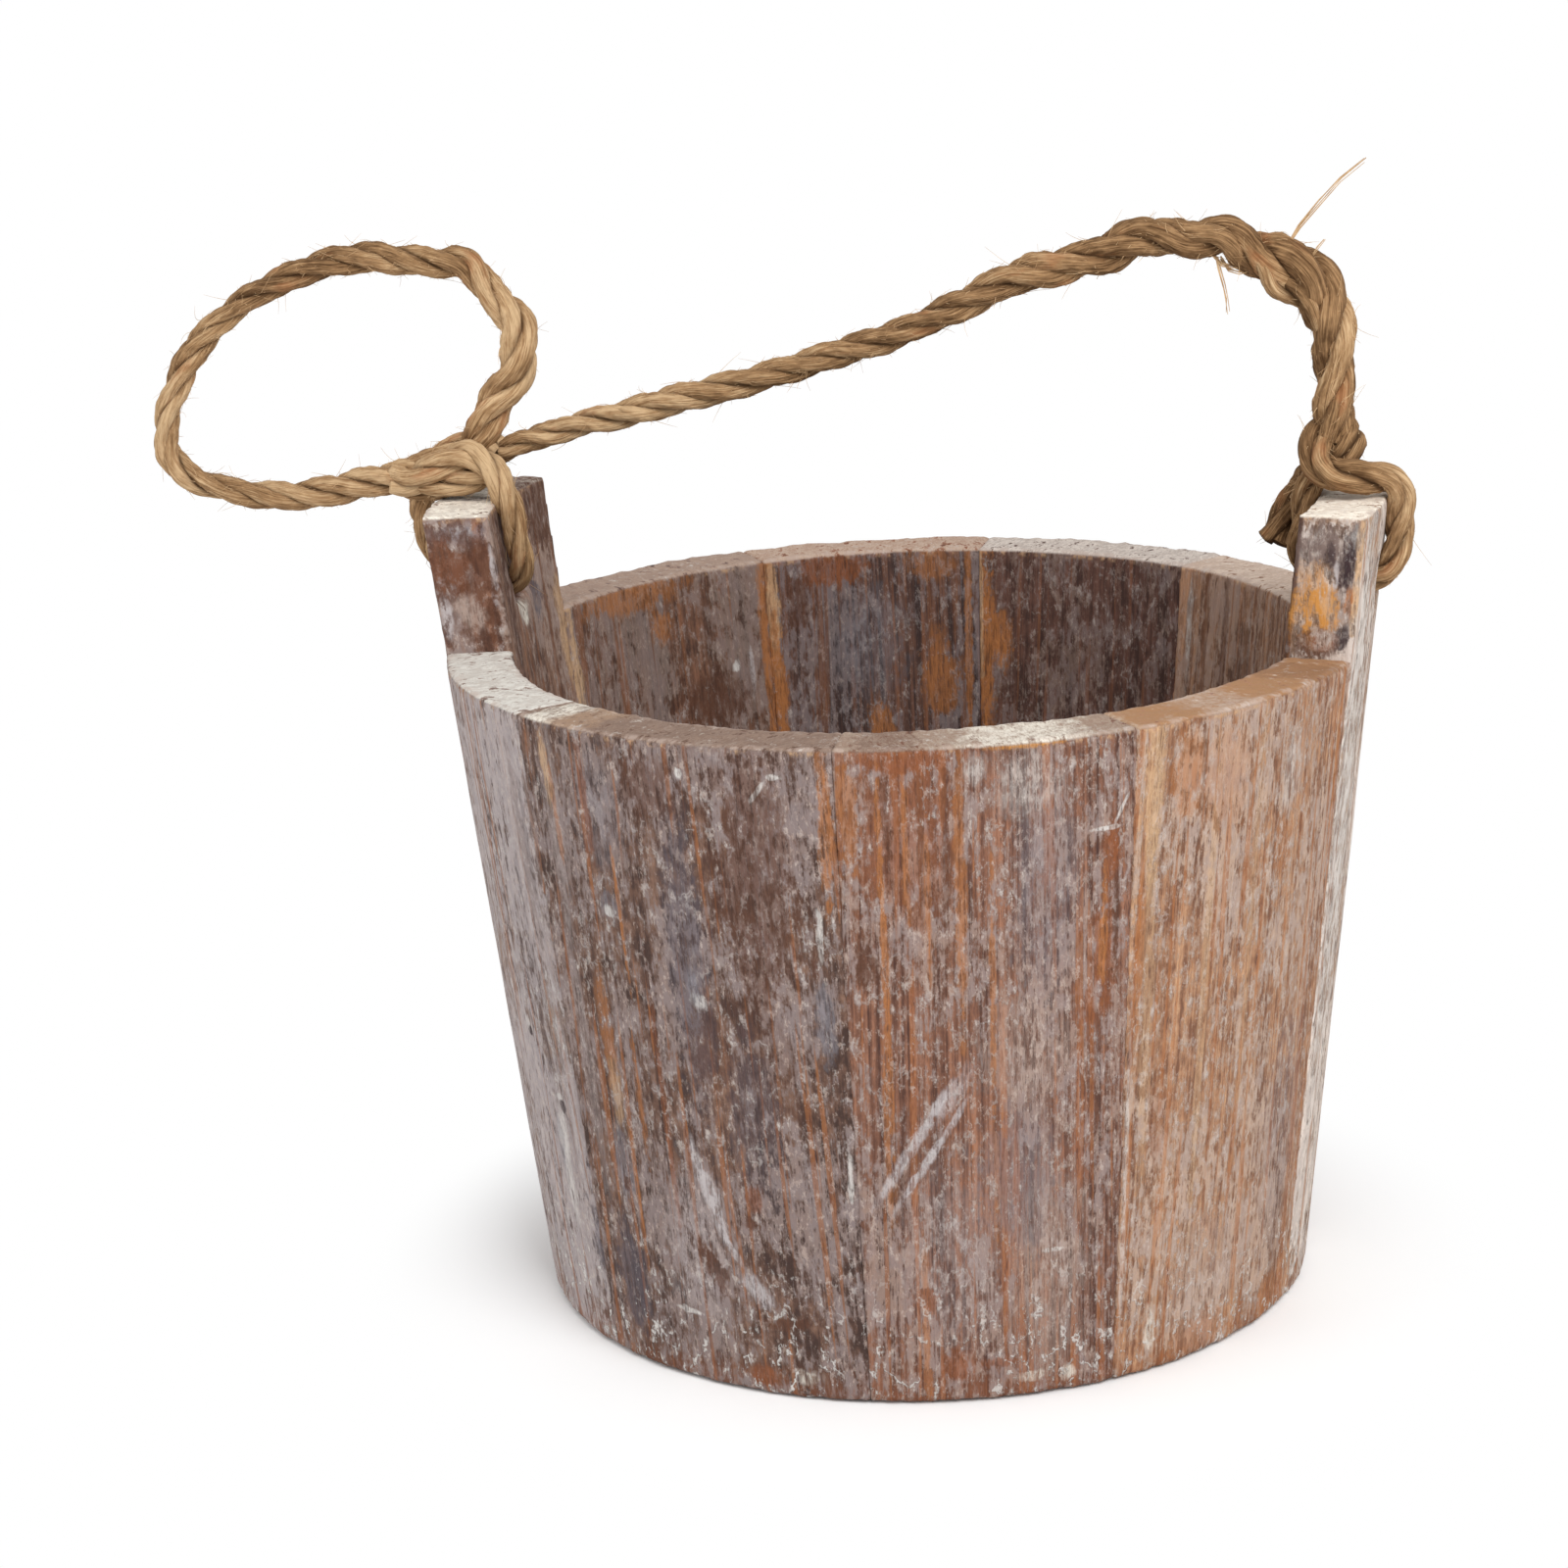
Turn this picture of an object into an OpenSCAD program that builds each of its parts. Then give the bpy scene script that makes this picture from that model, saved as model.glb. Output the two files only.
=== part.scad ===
// Staved wooden bucket planter with two tall ear staves and a knotted rope handle.
// The front faces -Y, the ears stand at +X (right) and -X (left), and the base rests on Z = 0.

/* [Bucket] */
// Outer diameter at the rim
rim_diameter = 200; // [170:1:240]
// Outer diameter at the base
base_diameter = 169; // [140:1:200]
// Height of the rim above the ground
rim_height = 143; // [110:1:200]
// Thickness of the staves, measured level
stave_thickness = 14.5; // [11:0.5:18]
// Worn bevel along the edges of the rim and the base
edge_bevel = 1.2; // [0.4:0.1:2]

/* [Staves] */
// Relative widths of the four back staves, from the right ear to the left
back_widths = [39, 36, 35, 42]; // [25:1:50]
// Relative widths of the four front staves, from the left ear to the right
front_widths = [34, 44, 35, 39]; // [25:1:50]

/* [Ears] */
// Height of each ear above the rim
ear_rise = 30; // [26:1:45]
// Arc that each ear stave takes up, in degrees
ear_arc = 28; // [22:1:40]
// Height of the rope hole above the rim
hole_rise = 12; // [9:1:14]
// Room all round the rope in its hole
hole_clearance = 1; // [0.5:0.1:2]
// Worn bevel round each mouth of the rope hole
hole_bevel = 1; // [0.4:0.1:2]

/* [Floor] */
// Thickness of the floor boards
floor_thickness = 10; // [6:0.5:14]
// Height of the floor's underside above the ground
floor_recess = 9; // [6:1:20]
// Depth of the groove that holds the edge of the floor
groove_depth = 4; // [2:0.5:6]
// Relative widths of the three floor boards, front to back
board_widths = [46, 52, 48]; // [35:1:60]

/* [Pegs] */
// Diameter of the pegs between the staves
peg_diameter = 5; // [3:0.5:6]
// Length of the pegs between the staves
peg_length = 16; // [10:1:20]
// Height of the lower row of pegs above the ground
lower_peg_height = 38; // [32:1:50]
// Distance from the rim down to the upper row of pegs
upper_peg_drop = 28; // [16:1:36]
// Diameter of the pegs between the floor boards
floor_peg_diameter = 4; // [2:0.5:5]
// Length of the pegs between the floor boards
floor_peg_length = 20; // [12:1:30]
// Distance between the two pegs in a joint of the floor
floor_peg_spacing = 70; // [40:1:90]

/* [Rope] */
// Diameter of the rope
rope_diameter = 8; // [6:0.5:9]
// Outer diameter of the right knot
right_knot_diameter = 16; // [13:0.5:18]
// Outer diameter of the left knot
left_knot_diameter = 11; // [10:0.5:13]
// Turns of rope in the right knot
right_knot_turns = 3; // [2:1:3]
// Turns of rope in the left knot
left_knot_turns = 4; // [3:1:4]
// Fall of the left knot towards its outer end, in degrees
left_knot_tilt = 10; // [5:1:12]

/* [Hidden] */
$fn = 96;

// Room round a peg in its hole, and past its end
peg_clearance = 0.05;
peg_end_clearance = 0.5;
// Room above and round the edge of the floor in its groove
floor_clearance = 0.2;
// Room between the rope and the wood that it lies on
lay_clearance = 0.3;
// Room between a knot and the rope that swings round it
swing_clearance = 0.4;
// Room between the right knot and the top of its ear
seat_clearance = 0.1;
// Sides of a rope
rope_sides = 10;
// How far a cutting tool reaches past the wood
overcut = 1;

// Colours of the parts
stave_colours = ["#7d6459", "#8a6a58", "#75625c", "#92705a"];
ear_colour = "#86685a";
floor_colour = "#7a6152";
peg_colour = "#c9a77a";
rope_colour = "#b48c5a";

// Widening of the wall for each millimetre of height
flare = (rim_diameter - base_diameter) / 2 / rim_height;
ear_top = rim_height + ear_rise;
hole_height = rim_height + hole_rise;
hole_diameter = rope_diameter + 2 * hole_clearance;
groove_floor = floor_recess;
groove_roof = floor_recess + floor_thickness + floor_clearance;
floor_top = floor_recess + floor_thickness;
groove_radius = inner_radius(floor_recess + floor_thickness / 2) + groove_depth;
floor_radius = groove_radius - floor_clearance;
// Angles at which the arcs of the back and front staves begin
back_start = ear_arc / 2;
front_start = 180 + ear_arc / 2;
side_arc = 180 - ear_arc;
peg_heights = [lower_peg_height, rim_height - upper_peg_drop];

// The rope leaves both knots on one line, which is the handle's swing axis
swing_height = ear_top + seat_clearance + right_knot_diameter / 2;
// The right knot sits this far inside the middle of its ear
right_knot_inset = 2;
right_knot_x = (inner_radius(ear_top) + outer_radius(ear_top)) / 2 - right_knot_inset;
// The inner end of the left knot stands this far out from the inside of its ear
left_knot_overlap = 1.5;
left_knot_end = -inner_radius(ear_top) - left_knot_overlap;
// Space from one turn of a knot to the next
turn_pitch = 5.8;
// Half the room between the turns of a knot
turn_gap = 0.1;
left_knot_length = turn_pitch * left_knot_turns;

// Route of the handle from the right knot to the left one: X, Y and height over the swing axis
handle_start_x = 92;
handle_route = [
    [92, 0, 23], [91, 0, 29], [89, 0, 34], [85, -1, 38], [79, -1, 42], [71, -2, 45], [62, -2, 47],
    [52, -2, 47], [40, -3, 44], [27, -3, 39], [13, -3, 33], [-1, -2, 28], [-16, -2, 22],
    [-32, -1, 17], [-48, -1, 13], [-62, 0, 9], [-72, 0, 6], [-81, 0, 2],
];
// Route of the slack loop from the top of the left knot round to its outer end
slack_route = [
    [-93, 0, 6], [-90, 1, 13], [-86, 1, 20], [-84, 2, 26], [-85, 3, 32], [-89, 3, 38], [-95, 4, 42],
    [-103, 4, 44], [-112, 4, 45], [-122, 3, 45], [-132, 2, 43], [-142, 1, 39], [-151, 0, 33],
    [-159, -2, 25], [-164, -3, 16], [-167, -4, 8], [-167, -4, 3], [-165, -4, -1], [-160, -4, -5],
    [-154, -4, -7], [-146, -3, -8], [-134, -1, -8],
];
// Route of the cut tail below the right knot
tail_route = [[87, 0, -1], [82, 7, -5], [78, 9, -12], [75, 9, -19]];
// Bend of the rope where it turns into a hole
hole_bend = 5;
// The left inner strand leaves the front of its knot and passes in front of the handle's end:
// its distance from the middle, its start behind the end of the knot, its reach past that end,
// and its drop below the swing axis
left_strand_offset = 9;
left_strand_start = 4 - left_knot_end;
left_strand_reach = 1;
left_strand_drop = 4;
// Room from the swing axis to the handle's right end, and from the left knot to its left end
right_gap = right_knot_diameter / 2 + swing_clearance;
left_gap = rope_diameter / 2 * tan(left_knot_tilt) + swing_clearance;

// Radius of the wall's outside at a height
function outer_radius(height) = base_diameter / 2 + flare * height;

// Radius of the wall's inside at a height
function inner_radius(height) = outer_radius(height) - stave_thickness;

// Sum of the first few numbers of a list
function sum(list, count) = count <= 0 ? 0 : list[count - 1] + sum(list, count - 1);

// Share of a list's total that lies before an entry
function share(list, count) = sum(list, count) / sum(list, len(list));

// Angle of a seam: the ears' edges, and the seams between the staves of one side
function seam(start, widths, index) = start + side_arc * share(widths, index);

// Angles of every seam round the bucket
seams = [
    for (index = [0:len(back_widths)]) seam(back_start, back_widths, index),
    for (index = [0:len(front_widths)]) seam(front_start, front_widths, index),
];

// Section through a stave, with bevelled ends and the groove for the floor
function stave_section(top) = [
    [inner_radius(0) + edge_bevel, 0],
    [outer_radius(0) - edge_bevel, 0],
    [outer_radius(edge_bevel), edge_bevel],
    [outer_radius(top - edge_bevel), top - edge_bevel],
    [outer_radius(top) - edge_bevel, top],
    [inner_radius(top) + edge_bevel, top],
    [inner_radius(top - edge_bevel), top - edge_bevel],
    [inner_radius(groove_roof), groove_roof],
    [groove_radius, groove_roof],
    [groove_radius, groove_floor],
    [inner_radius(groove_floor), groove_floor],
    [inner_radius(edge_bevel), edge_bevel],
];

// Pegs that lie across one seam, with extra width and length when they cut their holes
module seam_pegs(angle, extra_radius = 0, extra_length = 0) {
    for (height = peg_heights)
        rotate([0, 0, angle])
            translate([(inner_radius(height) + outer_radius(height)) / 2, 0, height])
                rotate([90, 0, 0])
                    cylinder(
                        h = peg_length + 2 * extra_length,
                        d = peg_diameter + 2 * extra_radius,
                        center = true
                    );
}

// One stave between two angles, with peg holes in both its edges
module stave(start, end, top = rim_height) {
    difference() {
        rotate([0, 0, start])
            rotate_extrude(angle = end - start)
                polygon(stave_section(top));
        seam_pegs(start, peg_clearance, peg_end_clearance);
        seam_pegs(end, peg_clearance, peg_end_clearance);
    }
}

// Hole for the rope, straight through the ear that stands at +X, with both mouths bevelled
module rope_hole() {
    inside = inner_radius(hole_height);
    outside = outer_radius(hole_height);
    mouth_radius = hole_diameter / 2 + hole_bevel;
    translate([0, 0, hole_height])
        rotate([0, 90, 0]) {
            translate([0, 0, inside - overcut])
                cylinder(h = outside - inside + 2 * overcut, d = hole_diameter);
            translate([0, 0, outside - hole_bevel])
                cylinder(h = 2 * hole_bevel, r1 = hole_diameter / 2, r2 = mouth_radius + hole_bevel);
            translate([0, 0, inside - hole_bevel])
                cylinder(h = 2 * hole_bevel, r1 = mouth_radius + hole_bevel, r2 = hole_diameter / 2);
        }
}

module right_ear_stave() {
    color(ear_colour)
        difference() {
            stave(-ear_arc / 2, ear_arc / 2, ear_top);
            rope_hole();
        }
}

module left_ear_stave() {
    color(ear_colour)
        difference() {
            stave(180 - ear_arc / 2, 180 + ear_arc / 2, ear_top);
            rotate([0, 0, 180])
                rope_hole();
        }
}

module back_stave(number) {
    color(stave_colours[number - 1])
        stave(seam(back_start, back_widths, number - 1), seam(back_start, back_widths, number));
}

module front_stave(number) {
    color(stave_colours[len(stave_colours) - number])
        stave(seam(front_start, front_widths, number - 1), seam(front_start, front_widths, number));
}

// Front edge of a floor board
function board_edge(index) = floor_radius * (2 * share(board_widths, index) - 1);

// Pegs that lie across one joint of the floor
module joint_pegs(index, extra_radius = 0, extra_length = 0) {
    for (side = [-1, 1])
        translate([side * floor_peg_spacing / 2, board_edge(index), floor_recess + floor_thickness / 2])
            rotate([90, 0, 0])
                cylinder(
                    h = floor_peg_length + 2 * extra_length,
                    d = floor_peg_diameter + 2 * extra_radius,
                    center = true
                );
}

// One board of the round floor, counted from the front
module floor_board(index) {
    color(floor_colour)
        difference() {
            intersection() {
                translate([0, 0, floor_recess])
                    cylinder(h = floor_thickness, r = floor_radius);
                translate([-floor_radius - overcut, board_edge(index), floor_recess - overcut])
                    cube([
                        2 * (floor_radius + overcut),
                        board_edge(index + 1) - board_edge(index),
                        floor_thickness + 2 * overcut
                    ]);
            }
            for (joint = [1:len(board_widths) - 1])
                joint_pegs(joint, peg_clearance, peg_end_clearance);
        }
}

module front_floor_board() {
    floor_board(0);
}

module middle_floor_board() {
    floor_board(1);
}

module back_floor_board() {
    floor_board(2);
}

module stave_pegs() {
    color(peg_colour)
        for (angle = seams)
            seam_pegs(angle);
}

module floor_pegs() {
    color(peg_colour)
        for (joint = [1:len(board_widths) - 1])
            joint_pegs(joint);
}

// Direction of a route at one of its points
function along(route, index) =
    let (ahead = route[min(index + 1, len(route) - 1)], behind = route[max(index - 1, 0)])
    (ahead - behind) / norm(ahead - behind);

// Ring of points round a route at one of its points
function ring(route, index) =
    let (
        forward = along(route, index),
        across = [0, 1, 0] - forward * forward[1],
        side = across / norm(across),
        up = cross(forward, side)
    )
    [
        for (corner = [0:rope_sides - 1])
            let (angle = 360 * corner / rope_sides)
            route[index] + rope_diameter / 2 * (cos(angle) * side + sin(angle) * up)
    ];

// Two triangles of a rope's skin between one ring and the next
function skin(ring_number, corner) =
    let (
        near = ring_number * rope_sides,
        far = near + rope_sides,
        next = (corner + 1) % rope_sides
    )
    [[near + corner, far + corner, far + next], [near + corner, far + next, near + next]];

// A length of rope along a route, with flat ends
module rope(route) {
    last = (len(route) - 1) * rope_sides;
    polyhedron(
        points = [for (index = [0:len(route) - 1]) each ring(route, index)],
        faces = [
            [for (corner = [0:rope_sides - 1]) corner],
            for (index = [0:len(route) - 2], corner = [0:rope_sides - 1]) each skin(index, corner),
            [for (corner = [rope_sides - 1:-1:0]) last + corner],
        ]
    );
}

// Route with its heights taken from the swing axis
function lifted(route) = [for (point = route) point + [0, 0, swing_height]];

// Quarter turn of the rope from a strand on the wood into the hole
function hole_turn(strand_x, way, sideways) = [
    for (angle = [0:30:90])
        [
            strand_x + way * hole_bend * (1 - cos(angle)),
            sideways * (1 - sin(angle)),
            hole_height + hole_bend * (1 - sin(angle))
        ]
];

// Loop of rope that holds an ear: down its inside, out through the hole and up its outside.
// It is drawn for the ear at +X. The inner strand stands sideways of the middle by the given
// amount, and both ends lie inside the knot.
function ear_loop_route(sideways, inner_end, outer_end) =
    let (
        lay = rope_diameter / 2 + lay_clearance,
        corner = lay * cos(45),
        strand_top = ear_top - edge_bevel,
        bend_height = hole_height + hole_bend,
        outer_turn = hole_turn(outer_radius(bend_height) + lay, -1, 0)
    )
    [
        each inner_end,
        [inner_radius(ear_top) - corner, sideways, ear_top + corner],
        [inner_radius(strand_top) - lay, sideways, strand_top],
        each hole_turn(inner_radius(bend_height) - lay, 1, sideways / 2),
        each [for (index = [len(outer_turn) - 1:-1:0]) outer_turn[index]],
        [outer_radius(strand_top) + lay, 0, strand_top],
        [outer_radius(ear_top) + corner, 0, ear_top + corner],
        outer_end,
    ];

module right_ear_loop() {
    color(rope_colour)
        rope(ear_loop_route(
            0,
            [[right_knot_x - turn_pitch, 0, swing_height]],
            [right_knot_x + turn_pitch, 0, swing_height]
        ));
}

module left_ear_loop() {
    color(rope_colour)
        rotate([0, 0, 180])
            rope(ear_loop_route(
                left_strand_offset,
                [
                    [left_strand_start, left_strand_offset / 2, swing_height - left_strand_drop],
                    [-left_knot_end - left_strand_reach, left_strand_offset, swing_height - left_strand_drop],
                ],
                [-left_knot_end + left_knot_length - turn_pitch, 0, swing_height - left_strand_drop]
            ));
}

// Knot drawn tight: turns of rope side by side round the X axis, centred on the origin
module knot(diameter, turns) {
    turn_radius = min(turn_pitch, diameter / 2) / 2 - turn_gap;
    span = turn_pitch * (turns - 1);
    rotate([0, 90, 0]) {
        cylinder(h = span, r = diameter / 2 - turn_radius, center = true);
        for (turn = [0:turns - 1])
            translate([0, 0, turn * turn_pitch - span / 2])
                rotate_extrude()
                    translate([diameter / 2 - turn_radius, 0])
                        circle(r = turn_radius);
    }
}

module right_knot() {
    color(rope_colour)
        translate([right_knot_x, 0, swing_height])
            knot(right_knot_diameter, right_knot_turns);
}

module left_knot() {
    color(rope_colour)
        translate([left_knot_end, 0, swing_height])
            rotate([0, -left_knot_tilt, 0])
                translate([-left_knot_length / 2, 0, 0])
                    knot(left_knot_diameter, left_knot_turns);
}

module rope_tail() {
    color(rope_colour)
        rope(lifted(tail_route));
}

// The handle rises straight out of the right knot, and meets the end of the left one level
module rope_handle() {
    color(rope_colour)
        rope(lifted([
            [handle_start_x, 0, right_gap],
            [handle_start_x, 0, right_gap + rope_diameter],
            each handle_route,
            [left_knot_end + left_gap, 0, 0],
        ]));
}

// Point on the middle line of the left knot, at a distance from its inner end
function left_knot_line(distance) =
    [left_knot_end, 0, 0] - distance * [cos(left_knot_tilt), 0, sin(left_knot_tilt)];

module slack_loop() {
    color(rope_colour)
        rope(lifted([
            each slack_route,
            left_knot_line(left_knot_length + swing_clearance + rope_diameter),
            left_knot_line(left_knot_length + swing_clearance),
        ]));
}

right_ear_stave();
left_ear_stave();
for (number = [1:len(back_widths)])
    back_stave(number);
for (number = [1:len(front_widths)])
    front_stave(number);
front_floor_board();
middle_floor_board();
back_floor_board();
stave_pegs();
floor_pegs();
right_ear_loop();
left_ear_loop();
right_knot();
left_knot();
rope_tail();
rope_handle();
slack_loop();
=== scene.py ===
"""A weathered staved planter bucket with a knotted rope handle.

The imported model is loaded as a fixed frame. The classes below lay its ropes strand by strand,
rebuild its staves and floor as worn boards, and dress every piece with a procedural finish.
"""

from __future__ import annotations

import logging
import math
from dataclasses import dataclass, field
from enum import Enum
from typing import Callable, Iterator, Sequence, Union

import bmesh
import bpy
import numpy as np
from mathutils import Matrix, Vector


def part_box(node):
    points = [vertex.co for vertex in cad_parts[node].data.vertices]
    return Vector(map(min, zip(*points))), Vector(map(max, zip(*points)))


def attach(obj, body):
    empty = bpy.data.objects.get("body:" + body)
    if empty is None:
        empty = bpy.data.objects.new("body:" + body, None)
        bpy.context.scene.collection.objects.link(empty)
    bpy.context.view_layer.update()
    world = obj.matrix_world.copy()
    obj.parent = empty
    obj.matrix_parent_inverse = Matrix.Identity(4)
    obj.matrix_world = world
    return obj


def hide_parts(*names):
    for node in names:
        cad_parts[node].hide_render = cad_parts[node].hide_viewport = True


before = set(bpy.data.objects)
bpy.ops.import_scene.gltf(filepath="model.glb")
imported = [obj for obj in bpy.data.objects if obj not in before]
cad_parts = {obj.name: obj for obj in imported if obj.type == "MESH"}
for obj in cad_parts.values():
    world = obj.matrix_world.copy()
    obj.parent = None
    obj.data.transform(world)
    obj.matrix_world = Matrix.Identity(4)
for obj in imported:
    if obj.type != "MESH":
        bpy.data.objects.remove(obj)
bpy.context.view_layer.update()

LOG = logging.getLogger("planter")
MM = 0.001

Colour = tuple[float, float, float, float]
Point = tuple[float, float, float]
Rows = Sequence[tuple]


def tone(red: int, green: int, blue: int) -> Colour:
    """Turn a tone in screen values into the linear colour that shaders take.

    Args:
        red: Red, from 0 to 255.
        green: Green, from 0 to 255.
        blue: Blue, from 0 to 255.

    Returns:
        The linear colour with full alpha.
    """
    linear = [
        value / 12.92 if value <= 0.04045 else ((value + 0.055) / 1.055) ** 2.4
        for value in (red / 255, green / 255, blue / 255)
    ]
    return (linear[0], linear[1], linear[2], 1.0)


# Shader building


class Signal:
    """An output of a material's node whose arithmetic adds Math nodes."""

    def __init__(self, bench: Bench, socket: bpy.types.NodeSocket) -> None:
        """Keep the bench that the socket belongs to, and the socket."""
        self.bench = bench
        self.socket = socket

    def __add__(self, other: Feed) -> Signal:
        """Sum of two values."""
        return self.bench.maths("ADD", self, other)

    __radd__ = __add__

    def __sub__(self, other: Feed) -> Signal:
        """Difference of two values."""
        return self.bench.maths("SUBTRACT", self, other)

    def __rsub__(self, other: Feed) -> Signal:
        """Difference of a plain number and this value."""
        return self.bench.maths("SUBTRACT", other, self)

    def __mul__(self, other: Feed) -> Signal:
        """Product of two values."""
        return self.bench.maths("MULTIPLY", self, other)

    __rmul__ = __mul__

    def __truediv__(self, other: Feed) -> Signal:
        """Quotient of two values."""
        return self.bench.maths("DIVIDE", self, other)

    def __rtruediv__(self, other: Feed) -> Signal:
        """Quotient of a plain number and this value."""
        return self.bench.maths("DIVIDE", other, self)

    def __abs__(self) -> Signal:
        """Size of this value without its sign."""
        return self.bench.maths("ABSOLUTE", self)

    def sibling(self, output: int | str) -> Signal:
        """Another output of the same node."""
        return Signal(self.bench, self.socket.node.outputs[output])

    def greater(self, other: Feed) -> Signal:
        """Greater of two values."""
        return self.bench.maths("MAXIMUM", self, other)

    def step(self, low: float, high: float) -> Signal:
        """Rise smoothly from 0 at low to 1 at high, where low may also lie above high."""
        return self.bench.node(
            "ShaderNodeMapRange", {"interpolation_type": "SMOOTHSTEP"}, {0: self, 1: low, 2: high}
        )


Feed = Union[Signal, float, Sequence[float]]


class Bench:
    """The node tree of one material or world."""

    SHIFTS = ((1.7, 3.1), (2.3, 7.7), (3.1, 1.3))

    def __init__(self, owner: bpy.types.Material | bpy.types.World) -> None:
        """Empty the owner's node tree, and keep both.

        Args:
            owner: The material or world.
        """
        owner.use_nodes = True
        self.owner = owner
        self.tree = owner.node_tree
        self.tree.nodes.clear()

    def add(
        self,
        kind: str,
        settings: dict[str, object] | None = None,
        feeds: dict[int | str, Feed] | None = None,
    ) -> bpy.types.Node:
        """Add a node, set it up and feed it.

        Args:
            kind: The node's type.
            settings: Its own settings, set first; "stops" are a ramp's places and colours.
            feeds: Values or signals for its sockets, by number or name.

        Returns:
            The node.
        """
        made = self.tree.nodes.new(kind)
        for name, value in (settings or {}).items():
            if name == "stops":
                self._set_stops(made.color_ramp, value)
            else:
                setattr(made, name, value)
        for key, feed in (feeds or {}).items():
            if isinstance(feed, Signal):
                self.tree.links.new(feed.socket, made.inputs[key])
            else:
                made.inputs[key].default_value = feed
        return made

    def node(
        self,
        kind: str,
        settings: dict[str, object] | None = None,
        feeds: dict[int | str, Feed] | None = None,
        output: int | str = 0,
    ) -> Signal:
        """Add a node, and take one of its outputs, by number or name."""
        return Signal(self, self.add(kind, settings, feeds).outputs[output])

    @staticmethod
    def _set_stops(ramp: bpy.types.ColorRamp, stops: Sequence[tuple[float, Colour]]) -> None:
        """Give a ramp its stops.

        Args:
            ramp: The ramp.
            stops: Place and colour of each stop, in rising order.
        """
        while len(ramp.elements) < len(stops):
            ramp.elements.new(1.0)
        for element, (place, colour) in zip(ramp.elements, stops):
            element.position = place
            element.color = colour

    def maths(self, operation: str, *feeds: Feed) -> Signal:
        """Add a Math node on one or two values."""
        return self.node("ShaderNodeMath", {"operation": operation}, dict(enumerate(feeds)))

    def vector(self, operation: str, *feeds: Feed) -> Signal:
        """Add a Vector Math node on its vectors."""
        return self.node("ShaderNodeVectorMath", {"operation": operation}, dict(enumerate(feeds)))

    def blend(self, share: Feed, under: Feed, over: Feed) -> Signal:
        """Lay a share of one colour over another."""
        settings = {"data_type": "RGBA", "clamp_factor": True}
        return self.node("ShaderNodeMix", settings, {0: share, 6: under, 7: over}, output=2)

    def ramp(self, value: Feed, *stops: tuple[float, Colour]) -> Signal:
        """Colour that follows a value through stops."""
        return self.node("ShaderNodeValToRGB", {"stops": stops}, {0: value})

    def point(self) -> Signal:
        """The surface point, in metres."""
        return self.node("ShaderNodeTexCoord", output="Object")

    def board(self, turn: Sequence[float]) -> Signal:
        """The surface point in millimetres, on a board's axes, which are turned by three angles."""
        feeds = {"Vector": self.point(), "Rotation": turn, "Scale": (MM, MM, MM)}
        return self.node("ShaderNodeMapping", {"vector_type": "TEXTURE"}, feeds)

    def noise(
        self, place: Signal, size: Sequence[float], shift: float, detail: float = 3, rough: float = 0.6
    ) -> Signal:
        """Cloudy value, about 0.5 on average, whose spots have a given size along each axis.

        Args:
            place: Where the surface point is.
            size: Size of the spots along each axis, in the units of the place.
            shift: A number that moves the pattern, so that no two pieces look alike.
            detail: Number of finer layers.
            rough: Strength of the finer layers.

        Returns:
            The value.
        """
        factors = [1 / length for length in size]
        offset = [shift * rate + start for rate, start in self.SHIFTS]
        moved = self.vector("MULTIPLY_ADD", place, factors, offset)
        feeds = {"Vector": moved, "Scale": 1.0, "Detail": detail, "Roughness": rough}
        return self.node("ShaderNodeTexNoise", None, feeds)

    def shade(
        self, colour: Feed, roughness: Feed, relief: Feed, depth: float, **constants: float
    ) -> bpy.types.Material:
        """Finish the material with a shader.

        Args:
            colour: Base colour.
            roughness: Roughness.
            relief: Height of the surface, from about 0 to 1.
            depth: Depth in metres that a height of 1 stands for.
            **constants: Plain values for other sockets, with spaces as underscores.

        Returns:
            The finished material.
        """
        bump = self.node("ShaderNodeBump", None, {"Strength": 1.0, "Distance": depth, "Height": relief})
        feeds = {"Base Color": colour, "Roughness": roughness, "Normal": bump}
        feeds.update({name.replace("_", " "): value for name, value in constants.items()})
        return self.show(self.node("ShaderNodeBsdfPrincipled", None, feeds))

    def show(
        self, surface: Signal, output: str = "ShaderNodeOutputMaterial"
    ) -> bpy.types.Material | bpy.types.World:
        """Link a shader to the output, and return the material or world."""
        self.add(output, None, {"Surface": surface})
        return self.owner


# The bucket's form, read from the frame


def points_of(node: str) -> list[Vector]:
    """Points of a node's mesh, in metres."""
    return [vertex.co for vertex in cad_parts[node].data.vertices]


@dataclass(frozen=True)
class StaveForm:
    """Where one stave stands: the angles of its two edges, in degrees, and its top, in metres."""

    node: str
    start: float
    end: float
    top: float

    @property
    def middle(self) -> float:
        """Angle of its middle."""
        return (self.start + self.end) / 2

    @classmethod
    def measured(cls, node: str) -> StaveForm:
        """Read a stave's edges and top from its node.

        Args:
            node: Name of the node.

        Returns:
            The stave's form.
        """
        points = points_of(node)
        centre = sum(points, Vector()) / len(points)
        middle = math.atan2(centre.y, centre.x)
        turned = [
            math.remainder(math.atan2(point.y, point.x) - middle, 2 * math.pi) for point in points
        ]
        start, end = math.degrees(middle + min(turned)), math.degrees(middle + max(turned))
        return cls(node, start, end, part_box(node)[1].z)


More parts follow.
